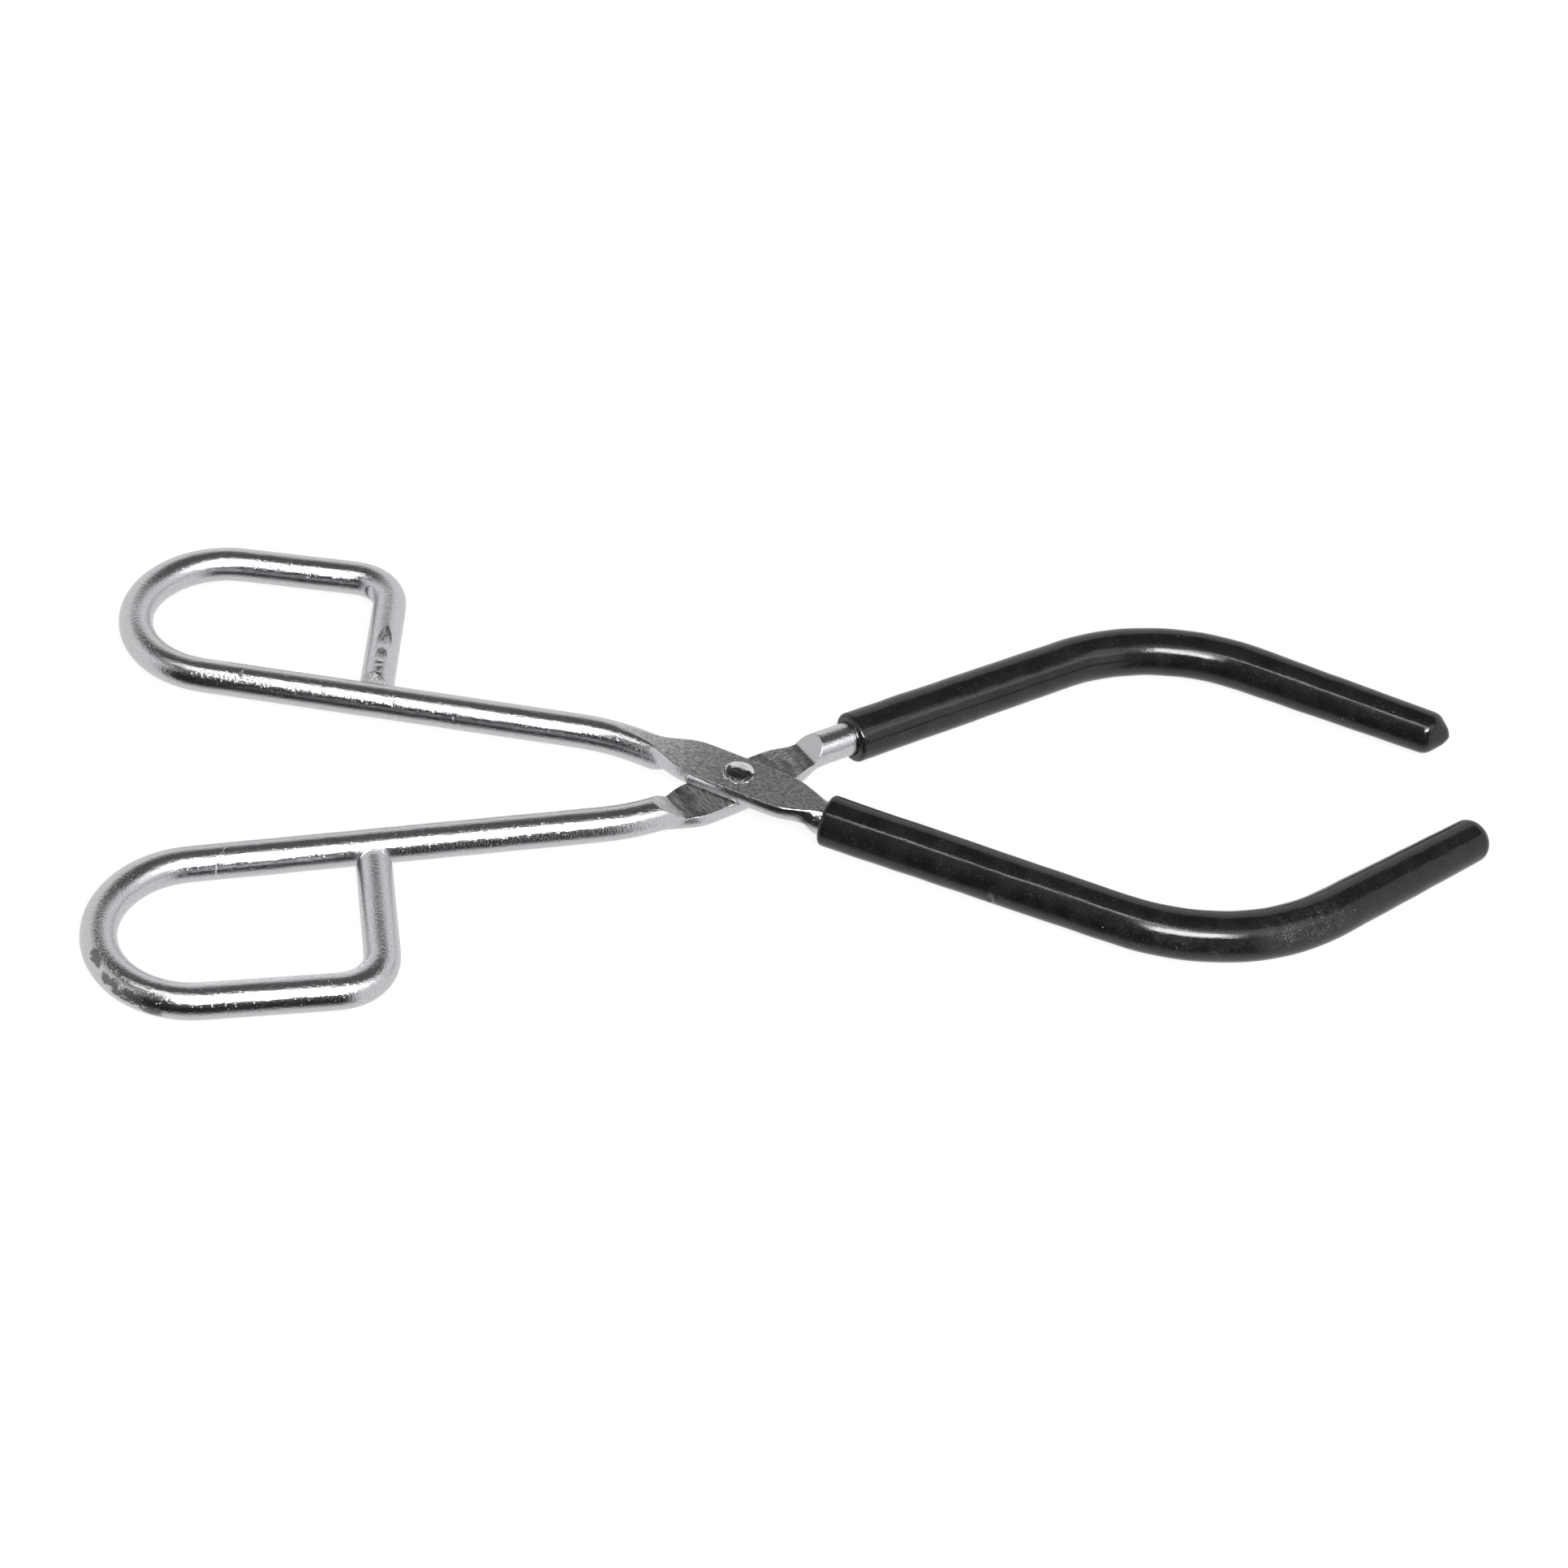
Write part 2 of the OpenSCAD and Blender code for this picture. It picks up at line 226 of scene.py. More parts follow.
def stations(low: float, high: float, steps: Sequence[Pair], marks: Sequence[Mark] = ()) -> Array:
    """Places along a line that are closer together where more detail is.

    The wanted step is read at each place from straight lines between the given (place, step) pairs, and is less near
    a mark. Places are where the running sum of 1 / step passes whole numbers.

    Args:
        low: First place.
        high: Last place.
        steps: Pairs of place and step, in rising order.
        marks: Marks that need places close together.

    Returns:
        The places, first and last included.
    """
    fine = np.linspace(low, high, STATION_SAMPLES)
    step = np.interp(fine, [p for p, _ in steps], [v for _, v in steps])
    for mark in marks:
        away = np.maximum(np.abs(fine - mark.at) - mark.half, 0.0)
        step = np.minimum(step, mark.closeness * mark.long + STEP_GROWTH * away)
    count = np.concatenate([[0.0], np.cumsum(np.diff(fine) / (0.5 * (step[1:] + step[:-1])))])
    return np.interp(np.linspace(0.0, count[-1], int(math.ceil(count[-1])) + 1), count, fine)


class Wander:
    """A seeded wave of a few sines in two parameters, used where a hand-made surface isn't quite true."""

    def __init__(self, seed: int, waves: int, longest: float, shortest: float) -> None:
        """Draws the waves.

        Args:
            seed: Seed of the draw.
            waves: Number of waves.
            longest: Longest wave along the bar.
            shortest: Shortest wave along the bar.
        """
        draw = np.random.default_rng(seed)
        self.rate = FULL_TURN / np.exp(draw.uniform(math.log(shortest), math.log(longest), waves))
        self.turns = draw.integers(0, 4, waves)
        self.phase = draw.uniform(0.0, FULL_TURN, waves)

    def at(self, along: Array, around: Array) -> Array:
        """Sum of sin(rate * along + turns * around + phase), divided by the square root of their number."""
        angle = along[..., None] * self.rate + around[..., None] * self.turns + self.phase
        return np.sin(angle).sum(-1) / math.sqrt(len(self.rate))


def even_angles(rings: int, count: int) -> Array:
    """The same angles for each ring, evenly spaced."""
    return np.broadcast_to(np.arange(count) * FULL_TURN / count, (rings, count))


def linked(name: str, data: bpy.types.ID) -> bpy.types.Object:
    """A new object in the scene with the given mesh, camera or light."""
    made = bpy.data.objects.new(name, data)
    bpy.context.scene.collection.objects.link(made)
    return made


def grid_object(name: str, points: Array, values: Mapping[str, Array]) -> bpy.types.Object:
    """Makes a closed piece from rings of points.

    Ring i joins ring i + 1 by four-sided faces, and the first and last ring are closed by fans to their middle, so
    that all faces look outwards when a ring runs counter-clockwise seen against the rings' order.

    Args:
        name: Name of the piece.
        points: Rings x points x 3, in millimetres in the part's frame.
        values: Attributes of the points, rings x points for a number and rings x points x 3 for a vector.

    Returns:
        The new object, linked to the scene, with its place in its mesh.
    """
    rings, count = points.shape[:2]
    index = np.arange(rings * count).reshape(rings, count)
    after = np.roll(index, -1, axis=1)
    quads = np.stack([index[:-1], after[:-1], after[1:], index[1:]], axis=-1).reshape(-1, 4)
    first, last = np.full(count, rings * count), np.full(count, rings * count + 1)
    fans = np.concatenate(
        [np.stack([first, after[0], index[0]], -1), np.stack([last, index[-1], after[-1]], -1)]
    )
    ends = np.stack([points[0].mean(0), points[-1].mean(0)])
    places = np.concatenate([points.reshape(-1, 3), ends]) * MM
    mesh = bpy.data.meshes.new(name)
    mesh.from_pydata(places.tolist(), [], quads.tolist() + fans.tolist())
    mesh.polygons.foreach_set("use_smooth", np.ones(len(mesh.polygons), dtype=bool))
    for key, value in values.items():
        whole = np.concatenate([value.reshape(rings * count, -1), value[[0, -1], 0].reshape(2, -1)])
        vector = whole.shape[1] == 3
        made = mesh.attributes.new(key, "FLOAT_VECTOR" if vector else "FLOAT", "POINT")
        made.data.foreach_set("vector" if vector else "value", whole.astype(np.float32).ravel())
    mesh.validate()
    mesh.update()
    return linked(name, mesh)


def dress(piece: bpy.types.Object, material: bpy.types.Material, body: str, node: str) -> None:
    """Gives a piece its material, slot, body and the CAD node that it stands for, and reports it.

    Args:
        piece: The piece.
        material: Its material.
        body: CAD body that it rides on.
        node: CAD node that it replaces.
    """
    piece.data.materials.append(material)
    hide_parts(node)
    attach(piece, body)
    LOG.info("%s: %d faces on %s for %s", piece.name, len(piece.data.polygons), body, node)


# ---- Bent bar ----


@dataclass(frozen=True)
class Stretch:
    """One stretch of bar: a straight of a length, or a bend of a radius and a turn in degrees, counter-clockwise."""

    length: float = 0.0
    radius: float = 0.0
    turn: float = 0.0

    @property
    def run(self) -> float:
        """Length along the bar."""
        return self.length if self.turn == 0 else self.radius * math.radians(abs(self.turn))


def tangent(radius: float, turn: float) -> float:
    """Distance from a bend's corner point to its ends."""
    return radius * math.tan(math.radians(turn) / 2.0)


class CentreLine:
    """Centre line of a bent bar in one plane.

    The heading is the running sum of the turns, in straight lines between the ends of the stretches. The line is the
    running sum of small steps along that heading. Both are eased by a Gaussian, so that each bend starts gently, and
    they run on straight past both ends.
    """

    step = 0.05
    beyond = 30.0

    def __init__(self, start: Pair, heading: float, run: Sequence[Stretch], ease: float) -> None:
        """Works out the line.

        Args:
            start: Where it starts.
            heading: Heading there, in radians.
            run: Its stretches in order.
            ease: Standard deviation of the easing, along the bar.
        """
        knots = np.concatenate([[0.0], np.cumsum([s.run for s in run])])
        turns = heading + np.concatenate([[0.0], np.cumsum([math.radians(s.turn) for s in run])])
        self.length = float(knots[-1])
        self.heading_end = float(turns[-1])
        wing = int(4.0 * ease / self.step) + 1
        count = int((self.length + 2.0 * self.beyond) / self.step) + 2 * wing
        place = -self.beyond - wing * self.step + self.step * np.arange(count)
        middle = np.interp(place + 0.5 * self.step, knots, turns)
        walk = self.step * np.stack([np.cos(middle), np.sin(middle)])
        line = np.concatenate([np.zeros((2, 1)), np.cumsum(walk, axis=1)[:, :-1]], axis=1)
        origin = np.array([np.interp(0.0, place, line[0]), np.interp(0.0, place, line[1])])
        line += (np.array(start) - origin)[:, None]
        bell = np.exp(-0.5 * (np.arange(-wing, wing + 1) * self.step / ease) ** 2)
        bell /= bell.sum()
        heads = np.interp(place, knots, turns)
        self.place = place[wing:-wing]
        self.line = np.stack([np.convolve(axis, bell, "valid") for axis in line])
        self.heads = np.convolve(heads, bell, "valid")

    def at(self, place: Array) -> tuple[Array, Array, Array]:
        """Positions and headings at places along the line."""
        x, y, head = (np.interp(place, self.place, v) for v in (*self.line, self.heads))
        return x, y, head

    def reach_back(self, place: float) -> float:
        """Distance from the line's end, straight on, to the straight line that it follows at an earlier place."""
        (px, qx), (py, qy), (_, q) = self.at(np.array([self.length, place]))
        p = self.heading_end
        across = math.cos(p) * math.sin(q) - math.sin(p) * math.cos(q)
        return ((qx - px) * math.sin(q) - (qy - py) * math.cos(q)) / across


@dataclass(frozen=True)
class Bar:
    """Sizes that both levers share: those of the part's source, the ease of bends, and how far the tip end is short."""

    radius: float = 3.175
    crossing: float = 61.5
    knee_r: float = 40.0
    neck_at: float = 17.6
    neck_r: float = 30.0
    neck_turn: float = 3.9
    elbow_r: float = 39.0
    loop_r: float = 16.8
    loop_turn: float = 177.3
    corner_r: float = 7.8
    rivet_offset: float = 0.4
    ease: float = 1.1
    tuck: float = 3.0
    pivot: Point = (-11.1277, -3.38905, 4.825)


@dataclass(frozen=True)
class Lap:
    """Sizes of the coined half-lap joint, close to those of the part's source, with the ease of edges and masks."""

    flat_z: float = 2.875
    flat_depth: float = 0.3
    flat_jaw: float = 13.0
    flat_handle: float = 17.5
    flat_ramp: float = 7.0
    curl_from: float = 6.0
    curl: float = 0.05
    width: float = 9.8
    half: float = 19.5
    crown: float = 1.2
    recess_jaw: float = 15.5
    recess_handle: float = 13.5
    shoulder_jaw: float = 2.7
    shoulder_handle: float = 4.5
    shoulder_ease: float = 0.2
    gap: float = 0.1
    edge_ease: float = 0.22
    recess_ease: float = 0.14
    swell_ease: float = 0.5
    swell_sink: float = 0.12
    side_ease: float = 0.5
    side_bulge: float = 0.2
    bulge_over: Pair = (3.5, 4.5)
    side_height: float = 3.6
    end_roll: float = 9.5
    roll_over: Pair = (-8.0, -18.0)
    cut_reach: float = 40.0
    mask_reach: float = 30.0
    flat_edge: Pair = (-0.1, -0.02)
    facet_edge: Pair = (-0.1, -0.04)
    mating_edge: Pair = (0.12, 0.02)
    shoulder_edge: Pair = (0.0, 0.12)

    @property
    def axis_z(self) -> float:
        """Height of the swelling's axis above the bar's."""
        return (self.flat_z + self.gap / 2.0) / 2.0

    def swelling(self, u: Array, rod_r: float) -> Array:
        """Radius of the metal squeezed out sideways: an arc along the bar, cut off at half the lap's width."""
        top = self.width / 2.0 + self.crown
        rise = top - (rod_r - self.axis_z) / 2.0
        arc = (self.half**2 + rise**2) / (2.0 * rise)
        barrel = top - arc + np.sqrt(np.maximum(arc**2 - u**2, 0.0))
        return np.maximum(soft_min(barrel, np.full_like(u, self.width / 2.0), self.side_ease), 0.0)

    def top(self, u: Array) -> Array:
        """Height of the coined flat: level, with a shallow ramp at each end that steepens past the bar's top."""
        past = np.maximum(np.maximum(u - self.flat_jaw, -self.flat_handle - u), 0.0)
        curl = self.curl * np.maximum(past - self.curl_from, 0.0) ** 2
        return self.flat_z + self.flat_depth * past / self.flat_ramp + curl

    def roll(self, u: Array) -> Array:
        """Slope of the coined flat across the bar: none in the lap, then falling to the left at the handle's end."""
        return math.tan(math.radians(self.end_roll)) * smooth_step(u, *self.roll_over)

    def bottom(self, u: Array, rod_r: float) -> Array:
        """Height of the recess: level just above the bar's middle, with a slanted shoulder at each end."""
        zero = np.zeros_like(u)
        jaw = soft_max(u - self.recess_jaw, zero, self.shoulder_ease) / self.shoulder_jaw
        handle = soft_max(-self.recess_handle - u, zero, self.shoulder_ease) / self.shoulder_handle
        return self.gap / 2.0 - (jaw + handle) * rod_r


class MarkForm(Enum):
    """How a mark's height falls off from its middle."""

    ROUND = "round"
    PIT = "pit"
    RING = "ring"


@dataclass(frozen=True)
class Mark:
    """A small dent or lump on the bar.

    at and around give its middle, as the place along the bar from the pivot and the angle from the lever's left side
    over its coined side, in degrees. long and wide are its half sizes in millimetres, lift its height. taper narrows it
    towards the jaw and widens it the other way, or is how far a ring leans.
    """

    at: float
    around: float
    long: float
    wide: float
    lift: float
    form: MarkForm = MarkForm.ROUND
    taper: float = 0.0

    @property
    def closeness(self) -> float:
        """Step along the bar that the mark needs, as a share of its half length."""
        return 0.1 if self.form is MarkForm.PIT else 0.4

    @property
    def half(self) -> float:
        """How far the mark reaches along the bar each way."""
        return 1.4 * self.long + (self.taper if self.form is MarkForm.RING else 0.0)

    def height(self, s: Array, phi: Array, rod_r: float) -> Array:
        """Lift times exp(-q), where q is the squared distance in half sizes, along the bar alone for a ring.

        A pit has exp(-q^3) instead, which is flat inside and steep at its rim.
        """
        if self.form is MarkForm.RING:
            return self.lift * np.exp(-(((s - self.at + self.taper * np.cos(phi)) / self.long) ** 2))
        along = ((s - self.at) / self.long) ** 2
        turn = np.angle(np.exp(1j * (phi - math.radians(self.around))))
        wide = self.wide * np.clip(1.0 - self.taper * (s - self.at) / self.long, 0.1, 2.0)
        away = along + (turn * rod_r / wide) ** 2
        return self.lift * np.exp(-(away**3) if self.form is MarkForm.PIT else -away)


def heights(marks: Sequence[Mark], s: Array, phi: Array, rod_r: float) -> Array:
    """Heights of some marks, each as an array of its own, after one of zeros."""
    return np.stack([np.zeros_like(phi), *(mark.height(s, phi, rod_r) for mark in marks)])


class WeldForm(Enum):
    """How the cross bar's end meets the shank."""

    BUTT = "butt"
    FILLET = "fillet"


@dataclass
class Lever:
    """One lever: finger loop, shank, half lap and jaw, bent from one bar."""

    name: str
    node: str
    body: str
    turned_over: bool
    knee_at: float
    knee_turn: float
    reach: float
    bow: float
    corner_turn: float
    elbow_at: float
    elbow_turn: float
    tip_reach: float
    mouth_at: float
    weld: WeldForm
    seed: int
    marks: tuple[Mark, ...] = ()
    worn: tuple[Mark, ...] = ()
    bar: Bar = field(default_factory=Bar)
    lap: Lap = field(default_factory=Lap)
    ring_points: int = 112
    fine_points: int = 720
    turn_weight: float = 0.5
    uneven: float = 0.012
    weld_ease: float = 0.08

    def __post_init__(self) -> None:
        """Works out both centre lines, from the pivot outwards."""
        bar = self.bar
        knee, neck = tangent(bar.knee_r, self.knee_turn), tangent(bar.neck_r, bar.neck_turn)
        elbow = tangent(bar.elbow_r, self.elbow_turn)
        handle = [
            Stretch(self.knee_at - knee),
            Stretch(radius=bar.knee_r, turn=self.knee_turn),
            Stretch(self.reach - self.knee_at - knee),
            Stretch(radius=bar.loop_r, turn=-bar.loop_turn),
            Stretch(self.bow),
            Stretch(radius=bar.corner_r, turn=-self.corner_turn),
        ]
        jaw = [
            Stretch(bar.neck_at - neck),
            Stretch(radius=bar.neck_r, turn=bar.neck_turn),
            Stretch(self.elbow_at - neck - elbow),
            Stretch(radius=bar.elbow_r, turn=self.elbow_turn),
            Stretch(self.tip_reach - elbow),
        ]
        start = (0.0, -bar.rivet_offset)
        self.handle = CentreLine(start, math.pi, handle, bar.ease)
        self.jaw = CentreLine(start, 0.0, jaw, bar.ease)
        self.jaw_runs = [s.run for s in jaw]
        self.shank_at = handle[0].run + handle[1].run + 0.5 * handle[2].run
        self.weld_at = self.handle.length + self.handle.reach_back(self.shank_at)

    def axis(self, s: Array) -> tuple[Array, Array, Array]:
        """Centre line and heading towards the jaw, at places s along the bar: minus on the handle's side."""
        hx, hy, hh = self.handle.at(-s)
        jx, jy, jh = self.jaw.at(s)
        back = s < 0.0
        return np.where(back, hx, jx), np.where(back, hy, jy), np.where(back, hh - math.pi, jh)

    def swept(self, s: Array, across: Array, up: Array) -> Array:
        """Points across and up from the centre line, turned over where the lever is, and put in the part's frame."""
        line_x, line_y, head = self.axis(s)
        flip = -1.0 if self.turned_over else 1.0
        half = -flip * math.radians(self.bar.crossing / 2.0)
        x, y = line_x - across * np.sin(head), flip * (line_y + across * np.cos(head))
        turned = [x * math.cos(half) - y * math.sin(half), x * math.sin(half) + y * math.cos(half), flip * up]
        return np.stack(turned, axis=-1) + np.array(self.bar.pivot)

    def weld_cut(self, s: Array, phi: Array) -> Array:
        """Distance from the bar's middle to the chiselled facet over a butt weld, and far away elsewhere.

        The facet is the plane up + side_slope * across = level, where the level falls towards the shank.
        """
        if self.weld is not WeldForm.BUTT:
            return np.full(np.broadcast(s, phi).shape, FAR)
        slope, side_slope, start = 0.6, 0.36, 4.5
        level = self.bar.radius * math.hypot(1.0, side_slope) - slope * (start - (s + self.weld_at))
        return np.maximum(level, 0.5) / np.maximum(np.sin(phi) + side_slope * np.cos(phi), 1e-3)

    def welded(self, s: Array, phi: Array, radius: Array) -> Array:
        """Bar's radius at the cross bar's end.

        A butt weld is cut by its facet. The other end is nosed: its radius is r * sqrt(1 - (t / length)^2) past the
        nose's start, and a thin fillet where it meets the shank adds height * exp(-distance / run).
        """
        if self.weld is WeldForm.BUTT:
            return soft_min(radius, self.weld_cut(s, phi), self.weld_ease)
        start, length, height, run = 5.3, 2.9, 0.5, 0.22
        from_shank = s + self.weld_at
        nose = np.sqrt(np.maximum(1.0 - (np.maximum(start - from_shank, 0.0) / length) ** 2, 0.2))
        foot = np.sqrt(np.maximum(self.bar.radius**2 - (radius * nose * np.sin(phi)) ** 2, 0.0))
        return radius * nose + height * np.exp(-np.maximum(from_shank - foot, 0.0) / run)

    def section(self, s: Array, phi: Array) -> tuple[Array, Array]:
        """Outline across the bar, in polar form about a point on its middle.

        The outline is the greater of the bar's disc and the lap's swelling, an ellipse, cut by the plane of the
        coined flat above and by the recess below, each with an eased corner. The pole is half way between those two.

        Args:
            s: Places along the bar, as a column.
            phi: Angles from the left side over the coined side.

        Returns:
            Distances from the pole, and the pole's height.
        """
        lap, rod = self.lap, self.bar.radius
        inside = np.abs(s) < lap.cut_reach
        top = np.where(inside, lap.top(s), FAR)
        low = np.where(inside, lap.bottom(s, rod), -FAR)
        swell = np.where(np.abs(s) < lap.half, lap.swelling(s, rod), 0.0)
        pole = 0.5 * (np.minimum(top, rod) + np.maximum(low, -rod))
        sin, cos = np.sin(phi), np.cos(phi)
        disc = -pole * sin + np.sqrt(np.maximum(rod**2 - (pole * cos) ** 2, 0.0))
        off = pole - lap.axis_z
        wide = np.maximum(swell + lap.side_bulge * smooth_step(swell, *lap.bulge_over), 1e-3)
        tall = np.maximum(np.minimum(swell, lap.side_height), 1e-3)
        a, b, c = (cos / wide) ** 2 + (sin / tall) ** 2, off * sin / tall**2, (off / tall) ** 2 - 1.0
        under = b * b - a * c
        barrel = np.where(under > 0.0, (-b + np.sqrt(np.maximum(under, 0.0))) / a, 0.0)
        radius = soft_max(disc, np.maximum(barrel - lap.swell_sink, 0.0), lap.swell_ease)
        up = np.maximum(sin + lap.roll(s) * cos, 1e-4)
        down = np.maximum(-sin, 1e-4)
        radius = soft_min(radius, (top - pole) / up, lap.edge_ease)
        radius = soft_min(radius, (pole - low) / down, lap.recess_ease)
        return np.where(s < -self.shank_at, self.welded(s, phi, radius), radius), pole

    def spread(self, s: Array) -> Array:
        """Angles of each ring, closer where the outline turns sharply.

        The measure round a ring is its length plus its turning times a length, and the angles share it equally.
        """
        phi = even_angles(len(s), self.fine_points)
        radius, _ = self.section(s, phi)
        loop = radius * np.exp(1j * phi)
        edge = np.roll(loop, -1, axis=1) - loop
        turning = np.abs(np.angle(np.roll(edge, -1, axis=1) / edge))
        turning = 0.5 * (turning + np.roll(turning, 1, axis=1))
        measure = np.cumsum(np.abs(edge) + self.turn_weight * turning, axis=1)
        share = np.concatenate([np.zeros((len(s), 1)), measure / measure[:, -1:]], axis=1)
        angle = np.concatenate([phi, np.full((len(s), 1), FULL_TURN)], axis=1)
        rows = np.arange(len(s))[:, None]
        wanted = np.arange(self.ring_points) / self.ring_points + rows
        found = np.interp(wanted.ravel(), (share * 0.999999 + rows).ravel(), (angle + FULL_TURN * rows).ravel())
        return found.reshape(wanted.shape) - FULL_TURN * rows

    def surface(self) -> tuple[Array, dict[str, Array]]:
        """The whole bar as rings across its centre line.

        A ring's point is the centre line plus radius * cos(angle) to the left and pole + radius * sin(angle) upwards.

        Returns:
            Rings of points in the part's frame, and the attributes: the point on the straightened bar, and the masks.
        """
        weld, mouth, end = -self.weld_at, self.mouth_at, self.jaw.length - self.bar.tuck
        steps = [(weld, 0.12), (weld + 7.0, 0.2), (weld + 12.0, 0.55), (-30.0, 0.6), (-26.0, 0.15)]
        steps += [(21.0, 0.15), (24.0, 0.5), (mouth + 3.0, 0.6), (mouth + 8.0, 2.5), (end, 2.5)]
        s = stations(weld, end, steps, self.marks)[:, None]
        phi = self.spread(s)
        radius, pole = self.section(s, phi)
        along = np.broadcast_to(s, phi.shape)
        waves = Wander(self.seed, waves=14, longest=60.0, shortest=9.0).at(along, phi)
        shown = smooth_step(s, mouth + 2.0, mouth) * smooth_step(np.abs(s), 22.0, 30.0)
        radius = radius + shown * self.uneven * waves + heights(self.marks, s, phi, self.bar.radius).sum(0)
        across, up = radius * np.cos(phi), pole + radius * np.sin(phi)
        values = {"bar": np.stack([along, across, up], axis=-1), **self.masks(s, phi, across, up)}
        return self.swept(s, across, up), values

    def masks(self, s: Array, phi: Array, across: Array, up: Array) -> dict[str, Array]:
        """How far each point is on a coined face, a mating face or its shoulder, and in worn plating, from 0 to 1."""
        lap, rod = self.lap, self.bar.radius
        near = np.abs(s) < lap.mask_reach
        coined = smooth_step(up + lap.roll(s) * across - lap.top(s), *lap.flat_edge) * near
        facet = smooth_step(np.hypot(across, up) - self.weld_cut(s, phi), *lap.facet_edge)
        mating = smooth_step(up - lap.bottom(s, rod), *lap.mating_edge) * near
        past = np.maximum(s - lap.recess_jaw, -lap.recess_handle - s)
        return {
            "coined": np.maximum(coined, facet * (s < -self.shank_at)),
            "mating": mating,
            "shoulder": mating * smooth_step(past, *lap.shoulder_edge),
            "worn": heights(self.worn, s, phi, rod).max(0),
        }

    def build(self, material: bpy.types.Material) -> None:
        """Makes the lever's piece and dresses it."""
        dress(grid_object(self.name, *self.surface()), material, self.body, self.node)


class TipForm(Enum):
    """How a sleeve's closed end is shaped."""

    ROUNDED = "rounded"
    CONICAL = "conical"


@dataclass
class JawSleeve:
    """Coating over a jaw: a closed tube that follows the lever's centre line."""

    name: str
    node: str
    lever: Lever
    tip: TipForm
    seed: int
    end_wall: float = 2.0
    bore_r: float = 3.225
    bore_eye: float = 0.4
    mouth_wall: float = 1.6
    elbow_wall: float = 1.4
    tip_wall: float = 0.9
    fit: float = 0.05
    rim_r: float = 0.8
    lip_r: float = 0.35
    lip_depth: float = 1.2
    tip_round: float = 2.6
    tip_cone: float = 4.4
    tip_ease: float = 1.3
    nose_r: float = 1.3
    nose_back: float = 0.35
    nose_ease: float = 0.9
    tip_lean: float = 0.0
    lean_power: float = 1.5
    uneven: float = 0.03
    uneven_from_r: float = 3.0
    mark_r: float = 4.5
    ring_points: int = 96
    marks: tuple[Mark, ...] = ()
    rubbed: tuple[Mark, ...] = ()

    def outer(self, s: Array) -> Array:
        """Outer radius along the jaw: straight lines from mouth to elbow, round the elbow and on to the tip."""
        runs = self.lever.jaw_runs
        elbow = runs[0] + runs[1] + runs[2]
        walls = [self.mouth_wall, self.elbow_wall, self.elbow_wall, self.tip_wall]
        knots = [self.lever.mouth_at, elbow, elbow + runs[3], self.end]
        return self.bore_r + np.interp(s, knots, walls)

    @property
    def end(self) -> float:
        """Place of the closed end along the jaw."""
        return self.lever.jaw.length + self.fit + self.end_wall

    def profile(self) -> tuple[Array, Array, Array]:
        """Outline from the bore's closed end back along the bore, round the rim and along the outside to the tip.

        Returns:
            Places along the jaw, radii, and 1 on the outside and 0 in the bore.
        """
        mouth, bore_end = self.lever.mouth_at, self.lever.jaw.length - self.lever.bar.tuck + self.fit
        bore = np.linspace(bore_end, mouth + self.lip_depth, 60)
        lip, turn = (np.linspace(0.0, QUARTER_TURN, count)[1:] for count in (9, 13))
        rim_in = (mouth + self.lip_r * (1.0 - np.sin(lip)), self.bore_r + self.lip_r * (1.0 - np.cos(lip)))
        outer_mouth = self.bore_r + self.mouth_wall
        rim_out = (mouth + self.rim_r * (1.0 - np.cos(turn)), outer_mouth - self.rim_r * (1.0 - np.sin(turn)))
        body_end = self.end - (self.tip_round if self.tip is TipForm.ROUNDED else self.tip_cone)
        steps = [(mouth, 0.25), (mouth + 8.0, 0.5), (self.end, 0.5)]
        body = stations(mouth + self.rim_r + 0.3, body_end, steps, self.marks)
        tip_s, tip_r = self.tip_outline(float(self.outer(np.array([body_end]))[0]), body_end)
        places = [np.array([bore_end]), bore, rim_in[0], rim_out[0], body, tip_s]
        eye = np.array([self.bore_eye])
        radii = [eye, np.full_like(bore, self.bore_r), rim_in[1], rim_out[1], self.outer(body), tip_r]
        side = np.concatenate([np.full(len(p), float(i > 1)) for i, p in enumerate(places)])
        return np.concatenate(places), np.concatenate(radii), side

    def tip_outline(self, radius: float, start: float) -> tuple[Array, Array]:
        """Outline of the closed end.

        Rounded: a quarter circle, then a flat that bulges a little. Conical: a cone with a blunt nose, whose two
        corners are quadratic Bezier curves.

        Args:
            radius: Radius where the end starts.
            start: Place where it starts.

        Returns:
            Places along the jaw and radii.
        """
        if self.tip is TipForm.ROUNDED:
            turn = np.linspace(0.0, QUARTER_TURN, 22)[1:]
            flat_r = radius - self.tip_round
            arc_s, arc_r = start + self.tip_round * np.sin(turn), flat_r + self.tip_round * np.cos(turn)
            inner = np.array([0.66, 0.33, 0.1]) * flat_r
            return np.concatenate([arc_s, arc_s[-1] + 0.02 * np.ones(3)]), np.concatenate([arc_r, inner])
        shoulder, nose = start + self.tip_ease + radius * 1j, self.end - self.nose_back + self.nose_r * 1j
        way = (nose - shoulder) / abs(nose - shoulder)
        first = bezier(start + radius * 1j, shoulder, shoulder + way * self.tip_ease, 16)
        second = bezier(nose - way * self.nose_ease, nose, self.end + 0.1j, 16)
        line = np.concatenate([first[1:], np.linspace(first[-1], second[0], 10)[1:-1], second])
        return line.real, line.imag

